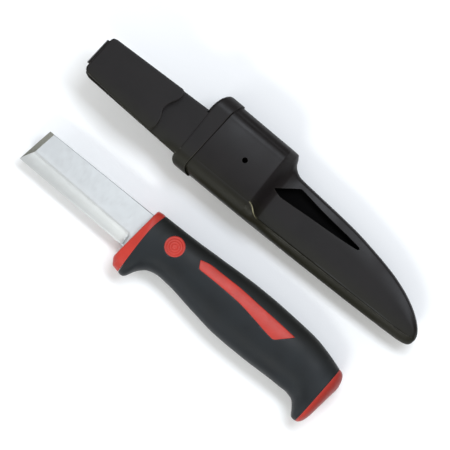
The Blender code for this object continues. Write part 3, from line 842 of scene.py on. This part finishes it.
def ridge_y(x):
    (x0, y0), (x1, y1) = RIDGE
    return mix(y0, y1, (x - x0) / (x1 - x0))


def edge_y(x):
    (x0, y0), (x1, y1) = BLADE_END[0], EDGE_REAR
    return mix(y0, y1, (x - x0) / (x1 - x0))


def blade_top(x, y, soft, half):
    """Height of the near face: flat, then the rounded ridge and the hollow bevel."""
    past = ridge_y(x) - y
    if abs(past) < soft:
        past = (past + soft) ** 2 / (4.0 * soft)
    part = max(0.0, past) / BEVEL_WIDTH
    fall = (2.0 * half - EDGE_THICK) * part * (1.0 + BEVEL_HOLLOW * (1.0 - part))
    start, end = PLUNGE
    sweep = PLUNGE_SLANT * max(0.0, ridge_y(x) - y)
    run_out = 1.0 - ease((x - sweep - start) / (end - start))
    return half - fall * run_out


def blade_section(x, settings, half):
    soft = settings.ridge_softness / MM
    micro = settings.micro_bevel / MM
    broken = settings.edge_break / MM
    spine = BLADE_HIGH.y
    edge = edge_y(x)
    ridge = ridge_y(x)
    ys = [mix(spine - broken, ridge + soft, k / 5) for k in range(6)]
    ys += [mix(ridge + soft, ridge - soft, k / 6) for k in range(1, 6)]
    ys += [mix(ridge - soft, edge + micro, k / 7) for k in range(8)]
    loop = [Vector((x, spine, half - broken))]
    loop += [Vector((x, y, blade_top(x, y, soft, half))) for y in ys]
    honed = blade_top(x, edge, soft, half) * 0.6 - half * 0.4
    loop.append(Vector((x, edge, max(0.06 - half, honed))))
    loop += [Vector((x, edge, -half)), Vector((x, mix(edge, spine, 0.5), -half)),
             Vector((x, spine - broken, -half)), Vector((x, spine, broken - half))]
    return loop


def grind_end(shape, point, normal):
    """Cut the blade's end off at a plane and close it with one flat face."""
    everything = shape.verts[:] + shape.edges[:] + shape.faces[:]
    made = bmesh.ops.bisect_plane(shape, geom=everything, dist=0.0001, plane_co=point,
                                  plane_no=normal, clear_outer=True)
    rim = [item for item in made["geom_cut"] if isinstance(item, bmesh.types.BMEdge)]
    return bmesh.ops.contextual_create(shape, geom=rim)["faces"][0]


def add_tang(shape):
    """Narrow tang, drawn out of the blade's rear face in two steps."""
    x_start, x_end, y_low, y_high = TANG
    rear = max(shape.faces, key=lambda face: face.calc_center_median().x)
    mid_y = middle(y_low, y_high)
    for x_to, narrowing in ((x_start, (y_high - y_low) / (BLADE_HIGH.y - EDGE_REAR[1])),
                            (x_end - 2.0, 0.62), (x_end, 0.55)):
        made = bmesh.ops.extrude_face_region(shape, geom=[rear])["geom"]
        bmesh.ops.delete(shape, geom=[rear], context="FACES_ONLY")
        rear = next(item for item in made if isinstance(item, bmesh.types.BMFace))
        centre_y = middle(min(v.co.y for v in rear.verts), max(v.co.y for v in rear.verts))
        for vert in rear.verts:
            vert.co = (x_to, mid_y + (vert.co.y - centre_y) * narrowing, vert.co.z)
    bmesh.ops.recalc_face_normals(shape, faces=shape.faces)


class KNIFE_OT_blade(Operator):
    """Chisel-ended blade, ground on its near side, with its hidden tang"""
    bl_idname = "grafting_knife.blade"
    bl_label = "Blade"

    def execute(self, context):
        settings = context.scene.grafting_knife
        half = (BLADE_HIGH.z - BLADE_LOW.z) / 2.0
        low, high = Vector(BLADE_END[0] + (0.0,)), Vector(BLADE_END[1] + (0.0,))
        shape = bmesh.new()
        stations = spread([(low.x - 6.0, -41.0, 2.6), (-41.0, TANG[0] - 1.5, 0.22)])
        skin(shape, [blade_section(x, settings.blade, half) for x in stations])
        across = Vector((high.y - low.y, low.x - high.x, 0.0)).normalized()
        grind_end(shape, low, -across)
        slope = (2.0 * half - EDGE_THICK) / CHISEL_WIDTH
        low.z = EDGE_THICK - half
        bevel = grind_end(shape, low, (Vector((0.0, 0.0, 1.0)) - across * slope).normalized())
        bevel.material_index = 1
        add_tang(shape)
        blade = make_object("blade_ground", shape, KNIFE_MID_Z)
        finish_piece(blade, "knife", steel(settings), ["blade"], 14.0)
        return {"FINISHED"}


# ------------------------------------------------------------------ handle

def handle_rows(bow):
    """Loops of the grip's outer form, from the collar to the end cap."""
    rows = []
    ends = [place for side in (FINGER_SIDE, BACK_SIDE)
            for place in (side[0][0] + SEAM, side[-1][0] - SEAM)]
    for i in range(GRIP_LOOPS + 1):
        even = i / GRIP_LOOPS
        t = even - END_CROWDING * sin(2.0 * pi * even)
        x_low, x_high = mix(ends[0], ends[1], t), mix(ends[2], ends[3], t)
        half = along(HALF_THICK, middle(x_low, x_high))
        loop = oval((x_low, along(FINGER_SIDE, x_low, True)),
                    (x_high, along(BACK_SIDE, x_high, True)), half, GRIP_POWER)
        rows.append(bowed(loop, half, bow * (1.0 - ease(t / 0.09))))
    return rows


def bowed(loop, half, bow):
    """The loop drawn towards the blade over its faces, most of all on the back side."""
    low, high = min(p.y for p in loop), max(p.y for p in loop)
    result = []
    for point in loop:
        part = min(1.0, 0.2 + (point.y - low) / (high - low))
        result.append(point - Vector((bow * part * (point.z / half) ** 2, 0.0, 0.0)))
    return result


def rounded_rows(rows, radius):
    """The same loops, with a small round at the first and the last one."""
    def drawn_in(loop, inward, shift):
        centre = sum(loop, Vector()) / len(loop)
        out = []
        for point in loop:
            way = (centre - point).normalized()
            out.append(point + way * inward + Vector((shift, 0.0, 0.0)))
        return out

    start = [drawn_in(rows[0], inward, up) for inward, up in quarter(radius)[:-1]]
    end = [drawn_in(rows[-1], inward, -up) for inward, up in quarter(radius)[:-1]]
    skip = 1
    while max(abs(a.x - b.x) for a, b in zip(rows[0], rows[skip])) < radius:
        skip += 1
    return start + rows[skip:-skip] + end[::-1]


def window_tool(name, points, surface, gap, lip, floor, far_side):
    """Cutter for an opening whose rim is rounded over as it meets the surface."""
    shape = bmesh.new()
    rows = [level(grown(points, gap + lip), 0.9)]
    rows += [level(grown(points, gap + lip - inward), -up)
             for inward, up in ((lip - a, lip - b) for a, b in quarter(lip)[::-1])]
    rows.append(level(grown(points, gap), -2.0))
    skin(shape, rows)
    drape(shape, surface, floor)
    if far_side:
        turned_over(shape)
    return make_object(name, shape, 0.0)


class KNIFE_OT_grip(Operator):
    """Rubber grip with rounded windows for the disc and the inlay on both sides"""
    bl_idname = "grafting_knife.grip"
    bl_label = "Grip"

    def execute(self, context):
        settings = context.scene.grafting_knife
        handle = settings.handle
        rows = handle_rows(handle.interface_bow / MM)
        surface = surface_of(rows)
        shape = bmesh.new()
        skin(shape, rounded_rows(rows, 0.22))
        grip = make_object("grip_rubber_sleeve", shape, 0.0)
        floor = CORE_HIGH.z - KNIFE_MID_Z - 0.4
        gap, lip = handle.insert_gap / MM, handle.lip / MM
        tools = [self.core_tool()]
        for side in ("near", "far"):
            for what, points in (("disc", circle(DISC_CENTRE, DISC_RADIUS, 72)),
                                 ("inlay", outline(INLAY, 1.0))):
                tools.append(window_tool("%s_%s" % (what, side), points, surface, gap, lip,
                                         floor, side == "far"))
        cut(grip, tools)
        grip.data.transform(lift_by(KNIFE_MID_Z))
        finish_piece(grip, "knife", rubber(settings), ["grip_sleeve"], 38.0)
        return {"FINISHED"}

    def core_tool(self):
        """The core's bore, a little larger than the core and open at both ends."""
        shape = bmesh.new()
        half = CORE_HIGH.z - KNIFE_MID_Z + BORE_GAP
        rows = []
        for x in BORE_X:
            low = max(along(FINGER_SIDE, x), BORE_LOWEST_Y) + GRIP_WALL
            high = along(BACK_SIDE, x) - GRIP_WALL
            corner = [(high, -half), (high, half), (low, half), (low, -half)]
            rows.append([Vector((x, y, z)) for y, z in corner])
        skin(shape, rows)
        return make_object("core_bore", shape, 0.0)


class KNIFE_OT_collar(Operator):
    """Red wedge collar in front of the grip, slotted for the blade"""
    bl_idname = "grafting_knife.collar"
    bl_label = "Collar"

    def execute(self, context):
        settings = context.scene.grafting_knife
        bow = settings.handle.interface_bow / MM
        front_high, rear_high = Vector(COLLAR_HIGH_FRONT), Vector(BACK_SIDE[0])
        halves = [(0.0, COLLAR_FRONT_HALF), (0.55, 9.5), (1.0, COLLAR_REAR_HALF + 0.1)]
        stops = [(inward, up / 6.0) for inward, up in quarter(0.6, 5)]
        stops += [(0.0, t) for t in (0.2, 0.28, 0.35, 0.37, 0.5, 0.62, 0.74, 0.86)]
        stops += [(inward, 1.0 - up / 6.0) for inward, up in quarter(0.2)[::-1]]
        rows = []
        for inward, t in stops:
            start, end = COLLAR_LOW_EDGE[:2] if t < COLLAR_LOW_EDGE[1][0] else COLLAR_LOW_EDGE[1:]
            part = (t - start[0]) / (end[0] - start[0])
            low = Vector(start[1:]).lerp(Vector(end[1:]), part)
            high = front_high.lerp(rear_high, t) + Vector((0.0, 0.35 * sin(pi * t)))
            half = along(halves, t)
            loop = oval(low, high, half, mix(COLLAR_POWER, GRIP_POWER, ease(t)), inward)
            rows.append(bowed(loop, half, bow * ease(t)))
        shape = bmesh.new()
        skin(shape, rows)
        collar = make_object("front_collar_red", shape, KNIFE_MID_Z)
        cut(collar, [self.slot_tool()])
        finish_piece(collar, "knife", red(settings), ["front_collar"], 34.0)
        return {"FINISHED"}

    def slot_tool(self):
        """Slot that the blade passes through, a little larger than the blade all round."""
        half = (BLADE_HIGH.z - BLADE_LOW.z) / 2.0 + SLOT_GAP[1]
        low, high = EDGE_REAR[1] - SLOT_GAP[0], BLADE_HIGH.y + SLOT_GAP[0]
        corners = ((low, -half), (high, -half), (high, half), (low, half))
        shape = bmesh.new()
        skin(shape, [[Vector((x, y, z)) for y, z in corners] for x in (-44.0, -26.0)])
        return make_object("blade_slot", shape, KNIFE_MID_Z)


def insert_form(points, surface, rise, floor, rings=()):
    """Insert that lies on the grip's surface; rings are (in from the edge, depth) steps."""
    shape = bmesh.new()
    rows = [level(points, -2.0), level(points, rise - INSERT_EDGE)]
    rows += [level(grown(points, -inward), rise - up)
             for inward, up in quarter(INSERT_EDGE)[-2::-1]]
    rows += [level(grown(points, -inward), rise - depth) for inward, depth in rings]
    skin(shape, rows)
    if not rings:
        dice(shape, 1.1)
    drape(shape, surface, floor)
    return shape


class KNIFE_OT_inserts(Operator):
    """Ringed disc and long inlay, on both sides of the grip"""
    bl_idname = "grafting_knife.inserts"
    bl_label = "Disc and inlay"

    def execute(self, context):
        settings = context.scene.grafting_knife
        handle = settings.handle
        surface = surface_of(handle_rows(handle.interface_bow / MM))
        rise = handle.insert_rise / MM
        floor = CORE_HIGH.z - KNIFE_MID_Z + 0.15
        for side in ("front", "back"):
            disc = insert_form(circle(DISC_CENTRE, DISC_RADIUS, 72), surface, rise, floor,
                               self.rings(handle))
            inlay = insert_form(outline(INLAY, 1.0), surface, rise, floor)
            for name, shape, node in (("ringed_disc", disc, "emblem_disc"),
                                      ("inlay_strip", inlay, "side_inlay")):
                if side == "back":
                    turned_over(shape)
                item = make_object("%s_%s" % (name, side), shape, KNIFE_MID_Z)
                finish_piece(item, "knife", red(settings),
                             ["%s_%s" % (node, side)])
        return {"FINISHED"}

    def rings(self, handle):
        """Steps of the concentric grooves, evenly spaced from the edge to the middle."""
        depth = handle.ring_depth / MM
        steps = 44
        last = DISC_RADIUS - 0.5
        turns = (handle.ring_count + 0.25) * 2.0 * pi
        result = []
        for k in range(1, steps + 1):
            inward = mix(0.5, last, k / steps)
            wave = 0.5 - 0.5 * cos(turns * (inward - 0.5) / (last - 0.5))
            result.append((inward, depth * wave ** 2))
        return result


class KNIFE_OT_end_cap(Operator):
    """Domed red cap that closes the butt"""
    bl_idname = "grafting_knife.end_cap"
    bl_label = "End cap"

    def execute(self, context):
        settings = context.scene.grafting_knife
        low, high = Vector(FINGER_SIDE[-1]), Vector(BACK_SIDE[-1])
        half = HALF_THICK[-1][1]
        rows = [oval(low, high, half, GRIP_POWER, inward)
                for inward, _ in quarter(CAP_EDGE)[:-1]]
        rows = [[point + Vector((up, 0.0, 0.0)) for point in loop]
                for loop, (_, up) in zip(rows, quarter(CAP_EDGE))]
        outs = [(out, inward) for inward, out in CAP_DOME]
        steps = 16
        for k in range(steps + 1):
            turn = pi / 2.0 * k / steps
            out = max(CAP_EDGE, CAP_DOME[-1][1] * sin(turn))
            inward = along(outs, out) * (1.0 if k < steps else 1.25)
            thinner = inward * 0.72 + 0.9 * sin(turn)
            rows.append(oval(low + Vector((out * 0.9, inward * 1.15)),
                             high + Vector((out, -inward * 0.8)), half - thinner, GRIP_POWER))
        shape = bmesh.new()
        skin(shape, rows)
        cap = make_object("end_cap_red", shape, KNIFE_MID_Z)
        finish_piece(cap, "knife", red(settings), ["end_cap"])
        return {"FINISHED"}


class KNIFE_OT_core(Operator):
    """Gives the core inside the grip its plastic"""
    bl_idname = "grafting_knife.core"
    bl_label = "Core"

    def execute(self, context):
        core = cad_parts["handle_core"]
        core.data.materials.clear()
        core.data.materials.append(red(context.scene.grafting_knife)[0])
        return {"FINISHED"}


# ------------------------------------------------------------------ sheath

def setback(y, edges, low_side, high_side):
    """Round fall-back of the band's ends between the flat top and the two side edges."""
    low, high = FLAT_TOP_Y
    if y < low:
        out = min(1.0, (low - y) / (low - edges[0]))
        return low_side * (1.0 - sqrt(1.0 - out * out))
    out = min(1.0, max(0.0, y - high) / max(0.1, edges[1] - high))
    return high_side * (1.0 - sqrt(1.0 - out * out))


def lean(station, y, edges):
    """How far a point moves along x, so that the loops follow the band's slanted ends."""
    low, high = FLAT_TOP_Y
    t = min(1.0, max(0.0, (y - low) / (high - low)))
    band_end = (BAND_END_X[1] - BAND_END_X[0]) * t + setback(y, edges, *BAND_END_SETBACK)
    if station < BAND_END_X[0]:
        part = (station - MOUTH_X) / (BAND_END_X[0] - MOUTH_X)
        return mix(setback(y, edges, *MOUTH_SETBACK), band_end, min(1.0, max(0.0, part)))
    return band_end * (1.0 - ease((station - BAND_END_X[0]) / 30.0))


def sheath_loop(station, inset, groove, inner=False):
    """Section loop, from the belly side over the top and back along the underside."""
    look = station + (CAVITY_LEAD if inner else 0.0)
    band = 0.0 if inner else 1.0 - ease((station - BAND_END_X[0] + 0.35) / 0.7)
    y_low = along(STRAIGHT_SIDE, look) - BAND_GROWTH[0] * band + inset
    y_high = along(BELLY_SIDE, look) + BAND_GROWTH[1] * band - inset
    x_low = along(STRAIGHT_X, station) if station > 100.0 else station
    x_high = along(BELLY_X, station) if station > 100.0 else station
    width = y_high - y_low
    top = along(TOP, look) + BAND_STEP * band - inset
    rim = top if inner else along(RIM, look) + BAND_STEP * band
    under = along(UNDER, look) - inset
    low_round = min(max(0.7, along(STRAIGHT_CORNER, look) - inset), ROUND_SHARE * width)
    high_round = min(max(0.7, along(BELLY_CORNER, look) - inset), ROUND_SHARE * width)
    fullness = 2.0 if inner else along(STRAIGHT_FULLNESS, look)
    low_rise = min(RISE_SHARE * rim, ROUND_LIMIT)
    under_rise = min(RISE_SHARE * under, ROUND_LIMIT)
    under_round = min(ROUND_LIMIT, ROUND_SHARE * width, max(0.7, under * 0.9))
    flat_low, flat_high = y_low + low_round, y_high - high_round
    flat_width = flat_high - flat_low
    in_barrel = 0.0 if inner else (1.0 - ease((look + 3.0) / 8.0)) * (1.0 - band)
    in_pocket = 0.0 if inner else ease((look - 6.0) / 8.0)
    crown = BARREL_CROWN / 2.0 * in_barrel
    rim -= crown

    def top_z(y):
        w = min(1.0, max(0.0, (y - flat_low) / flat_width))
        fall = along(POCKET_FALL, look) * in_pocket * max(0.0, (w - 0.62) / 0.38) ** 2
        return top + crown * (8.0 * w * (1.0 - w) - 1.0) - fall

    loop = [(y_high, 0.0)]
    edge_z = top_z(flat_high)
    high_rise = min(RISE_SHARE * edge_z, max(3.4, high_round))
    steps = 20
    groove_y = mix(*BARREL_GROOVE_Y, (station - BARREL_GROOVE_X[0]) / 37.0)
    carved = groove * in_barrel
    for k in range(steps + 1):
        a = pi / 2.0 * k / steps
        y = flat_high + high_round * cos(a)
        z = edge_z - high_rise + high_rise * sin(a)
        pull = carved * exp(-((y - groove_y) / 1.0) ** 2)
        loop.append((y - pull * cos(a), z - pull * sin(a)))
    lip = min(RIM_LIP, 0.4 * flat_width, max(0.3, rim - top_z(flat_low + RIM_LIP)))
    foot = flat_low + min(lip + 0.25, 0.6 * flat_width)
    lip_depth = min(lip, max(0.0, rim - top_z(foot)))
    steps = 36
    for k in range(1, steps + 1):
        y = mix(flat_high, foot, k / steps)
        loop.append((y, top_z(y)))
    for k in range(7):
        a = pi / 2.0 * k / 7
        loop.append((flat_low + lip * cos(a), rim - lip_depth * (1.0 - sin(a))))
    steps = 12
    for k in range(steps + 1):
        a = pi / 2.0 * (1.0 + k / steps)
        y = flat_low + low_round * -abs(cos(a)) ** (2.0 / fullness)
        z = rim - low_rise + low_rise * abs(sin(a)) ** (2.0 / fullness)
        loop.append((y, z))
    loop.append((y_low, 0.0))
    steps = 8
    for k in range(steps + 1):
        a = pi * (1.0 + 0.5 * k / steps)
        loop.append((y_low + under_round + under_round * cos(a),
                     -under + under_rise + under_rise * sin(a)))
    steps = 14
    for k in range(1, steps):
        loop.append((mix(y_low + under_round, y_high - under_round, k / steps), -under))
    steps = 8
    for k in range(steps + 1):
        a = pi * (1.5 + 0.5 * k / steps)
        loop.append((y_high - under_round + under_round * cos(a),
                     -under + under_rise + under_rise * sin(a)))
    points = []
    for y, z in loop:
        x = mix(x_low, x_high, (y - y_low) / width)
        points.append(Vector((x + lean(station, y, (y_low, y_high)), y, z)))
    return points


def sheath_rows(groove):
    """Loops from the bottom of the cavity, out round the mouth's lip and on to the tip."""
    inside = spread([(CAVITY_END, 12.0, 3.0), (12.0, -6.0, 0.9), (-6.0, MOUTH_X + 1.2, 2.4)])
    outside = spread([(MOUTH_X + 1.2, -38.6, 0.9), (-38.6, -37.0, 0.12), (-37.0, -4.0, 1.2),
                      (-4.0, 13.0, 0.32), (13.0, 34.0, 0.9), (34.0, 100.0, 1.8),
                      (100.0, 107.0, 0.6), (107.0, 110.0, 0.25)])
    rows = [sheath_loop(station, WALL, 0.0, True) for station in inside]
    lip_steps = 8
    inner = sheath_loop(MOUTH_X, WALL, 0.0, True)
    outer = sheath_loop(MOUTH_X, 0.0, 0.0)
    for k in range(1, lip_steps):
        a = pi * k / lip_steps
        part = (1.0 - cos(a)) / 2.0
        forward = Vector((1.2 * (1.0 - sin(a)), 0.0, 0.0))
        rows.append([low.lerp(high, part) + forward for low, high in zip(inner, outer)])
    return rows + [sheath_loop(station, 0.0, groove) for station in outside]


class SHEATH_OT_shell(Operator):
    """Moulded sheath: banded mouth, barrel, flat pocket, slotted window and vent"""
    bl_idname = "grafting_knife.sheath"
    bl_label = "Sheath"

    def execute(self, context):
        settings = context.scene.grafting_knife
        sheath = settings.sheath
        shape = bmesh.new()
        skin(shape, sheath_rows(sheath.groove / MM))
        surface = BVHTree.FromBMesh(shape)
        self.mark_inside(shape)
        shell = make_object("sheath_shell", shape, 0.0)
        lip = sheath.window_lip / MM
        vent = circle(VENT_CENTRE, VENT_RADIUS, 40)
        tools = [window_tool("window", outline(WINDOW, 1.0), surface, 0.0, lip,
                             WINDOW_DEPTH_Z, False),
                 window_tool("vent", vent, surface, 0.0, VENT_LIP, VENT_DEPTH_Z, False)]
        cut(shell, tools)
        shell.data.transform(lift_by(SHEATH_MID_Z))
        finish_piece(shell, "sheath", sheath_plastic(settings),
                     ["sheath_body"], 40.0)
        return {"FINISHED"}

    def mark_inside(self, shape):
        """Give the faces that look into the cavity the second finish, the one darkened as painted
        shade.
        """
        for face in shape.faces:
            place = face.calc_center_median()
            centre_y = middle(along(STRAIGHT_SIDE, place.x), along(BELLY_SIDE, place.x))
            inward = Vector((0.0, centre_y - place.y, -place.z))
            deep = abs(place.z) < along(TOP, place.x) - WALL / 2.0
            past_lip = place.x > MOUTH_X + MOUTH_SETBACK[1]
            if deep and past_lip and face.normal.dot(inward) > 0.0:
                face.material_index = 1


class SHEATH_OT_belt_clip(Operator):
    """Belt strap, the thin fold at its end, and the springy tongue"""
    bl_idname = "grafting_knife.belt_clip"
    bl_label = "Belt clip"

    def execute(self, context):
        settings = context.scene.grafting_knife
        edge = settings.sheath.edge_round / MM
        strap_top = SHELL_HIGH.z - SHEATH_MID_Z
        finish = sheath_plastic(settings)
        shape = bmesh.new()
        plate(shape, outline(STRAP, 1.2), strap_top - STRAP_THICK, strap_top - 0.1, edge)
        self.settle_root(shape)
        strap = make_object("belt_strap_plate", shape, SHEATH_MID_Z)
        finish_piece(strap, "sheath", finish, ["belt_strap"])
        shape = bmesh.new()
        plate(shape, outline(TONGUE, 1.0), TONGUE_LOW.z, TONGUE_HIGH.z, edge)
        tongue = make_object("belt_clip_plate", shape, 0.0)
        finish_piece(tongue, "clip_tongue", finish, ["belt_clip_tongue"])
        strap_mid = SHELL_HIGH.z - STRAP_THICK / 2.0
        tongue_mid = middle(TONGUE_LOW.z, TONGUE_HIGH.z)
        shape = bmesh.new()
        skin(shape, self.web_rows(strap_mid, tongue_mid))
        web = make_object("fold_web", shape, 0.0)
        finish_piece(web, None, finish)
        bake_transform(web)
        return {"FINISHED"}

    def settle_root(self, shape):
        """Bend the strap's root down with the band's rounded side, so that they run together."""
        corner = along(STRAIGHT_CORNER, MOUTH_X)
        flat_low = BARREL_LOW_Y - BAND_GROWTH[0] + corner
        dice(shape, 1.5)
        for vert in shape.verts:
            out = min(1.0, max(0.0, flat_low - vert.co.y) / corner)
            near = ease((vert.co.x - MOUTH_X + 10.0) / 10.0)
            vert.co.z -= near * corner * (1.0 - sqrt(1.0 - out * out))

    def web_rows(self, low_z, high_z):
        """Side view loops of the fold, repeated across its width with eased side edges."""
        centre_z = middle(low_z, high_z)
        rows = []
        stops = [(0.0, 0.32), (0.12, 0.1), (0.4, 0.0)]
        span = WEB_Y[1] - WEB_Y[0]
        stops = stops + [(span * k / 8, 0.0) for k in range(1, 8)]
        stops += [(span - up, thin) for up, thin in stops[2::-1]]
        for up, thin in stops:
            y = WEB_Y[0] + up
            shift = WEB_LEAN * up / span
            half = WEB_THICK / 2.0 - thin
            reach = 1.1 - WEB_THICK / 2.0
            tall = (high_z - low_z) / 2.0
            turns = [pi / 2.0 + pi * k / 14 for k in range(15)]
            outer = [((reach + half) * cos(a), (tall + half) * sin(a)) for a in turns]
            inner = [((reach - half) * cos(a), (tall - half) * sin(a)) for a in turns]
            root = [(WEB_ROOT, outer[-1][1]), (WEB_ROOT, inner[-1][1])]
            head = [(WEB_ROOT, inner[0][1]), (WEB_ROOT, outer[0][1])]
            loop = outer + root + inner[::-1] + head
            rows.append([Vector((WEB_FOLD_X + shift + x, y, centre_z + z)) for x, z in loop])
        return rows


# ------------------------------------------------------------------ studio

def aim(item, target):
    item.rotation_euler = (Vector(target) - item.location).to_track_quat("-Z", "Y").to_euler()


def softbox(name, place, target, size, power, tint):
    lamp = bpy.data.lights.new(name, "AREA")
    lamp.shape = "RECTANGLE"
    lamp.size, lamp.size_y = size
    lamp.energy = power
    lamp.color = tint
    item = bpy.data.objects.new(name, lamp)
    bpy.context.scene.collection.objects.link(item)
    item.location = place
    aim(item, target)


class STAGE_OT_studio(Operator):
    """Pale floor, soft lights and a camera straight above"""
    bl_idname = "grafting_knife.studio"
    bl_label = "Studio"

    def execute(self, context):
        studio = context.scene.grafting_knife.studio
        shape = bmesh.new()
        bmesh.ops.create_grid(shape, x_segments=4, y_segments=4, size=6.0)
        mesh = bpy.data.meshes.new("pale_floor")
        shape.to_mesh(mesh)
        shape.free()
        floor = bpy.data.objects.new("pale_floor", mesh)
        context.scene.collection.objects.link(floor)
        mesh.transform(lift_by(CAD_BOX[0][2] / MM - FLOOR_GAP))
        mesh.materials.append(floor_finish(studio))
        context.scene.view_settings.view_transform = "Standard"
        for lamp in SOFTBOXES:
            softbox(*lamp)
        self.light_sky(context)
        self.add_camera(context, studio)
        return {"FINISHED"}

    def light_sky(self, context):
        """Pale surroundings, brightest overhead."""
        world = bpy.data.worlds.new("studio")
        context.scene.world = world
        world.use_nodes = True
        tree = world.node_tree
        place = tree.nodes.new("ShaderNodeTexCoord")
        parts = tree.nodes.new("ShaderNodeSeparateXYZ")
        strength = tree.nodes.new("ShaderNodeMapRange")
        for index, value in ((1, 0.1), (2, 1.0), (3, 0.30), (4, 0.68)):
            strength.inputs[index].default_value = value
        tree.links.new(place.outputs["Generated"], parts.inputs["Vector"])
        tree.links.new(parts.outputs["Z"], strength.inputs["Value"])
        tree.links.new(strength.outputs["Result"], tree.nodes["Background"].inputs["Strength"])
        tree.nodes["Background"].inputs["Color"].default_value = (1.0, 1.0, 1.0, 1.0)

    def add_camera(self, context, studio):
        lens = bpy.data.cameras.new("camera_above")
        lens.sensor_width = 36.0
        lens.lens = lens.sensor_width * studio.camera_height / studio.frame_width
        lens.clip_end = 20.0
        camera = bpy.data.objects.new("camera_above", lens)
        context.scene.collection.objects.link(camera)
        camera.location = (*CAMERA_OVER, studio.camera_height + KNIFE_MID_Z * MM)
        camera.rotation_euler = (0.0, 0.0, studio.turn)
        context.scene.camera = camera


class VIEW3D_PT_grafting_knife(Panel):
    """Sidebar panel with the pieces in the order that they are built"""
    bl_label = "Grafting Knife"
    bl_idname = "VIEW3D_PT_grafting_knife"
    bl_space_type = "VIEW_3D"
    bl_region_type = "UI"
    bl_category = "Grafting Knife"

    def draw(self, context):
        settings = context.scene.grafting_knife
        for title, group, operators in SECTIONS:
            box = self.layout.box()
            box.label(text=title)
            values = getattr(settings, group)
            for key in values.__annotations__:
                box.prop(values, key)
            for operator in operators:
                box.operator(operator.bl_idname)


SECTIONS = [
    ("Blade", "blade", [KNIFE_OT_blade]),
    ("Handle", "handle", [KNIFE_OT_collar, KNIFE_OT_grip, KNIFE_OT_inserts,
                          KNIFE_OT_end_cap, KNIFE_OT_core]),
    ("Sheath", "sheath", [SHEATH_OT_shell, SHEATH_OT_belt_clip]),
    ("Studio", "studio", [STAGE_OT_studio]),
]
OPERATORS = [operator for _, _, operators in SECTIONS for operator in operators]
CLASSES = [BladeSettings, HandleSettings, SheathSettings, StudioSettings, KnifeSettings,
           *OPERATORS, VIEW3D_PT_grafting_knife]


def register():
    for item in CLASSES:
        bpy.utils.register_class(item)
    bpy.types.Scene.grafting_knife = PointerProperty(type=KnifeSettings,
                                                     name="Grafting Knife")


def unregister():
    del bpy.types.Scene.grafting_knife
    for item in reversed(CLASSES):
        bpy.utils.unregister_class(item)


def main():
    register()
    for operator in OPERATORS:
        group, name = operator.bl_idname.split(".")
        getattr(getattr(bpy.ops, group), name)()


if __name__ == "__main__":
    main()
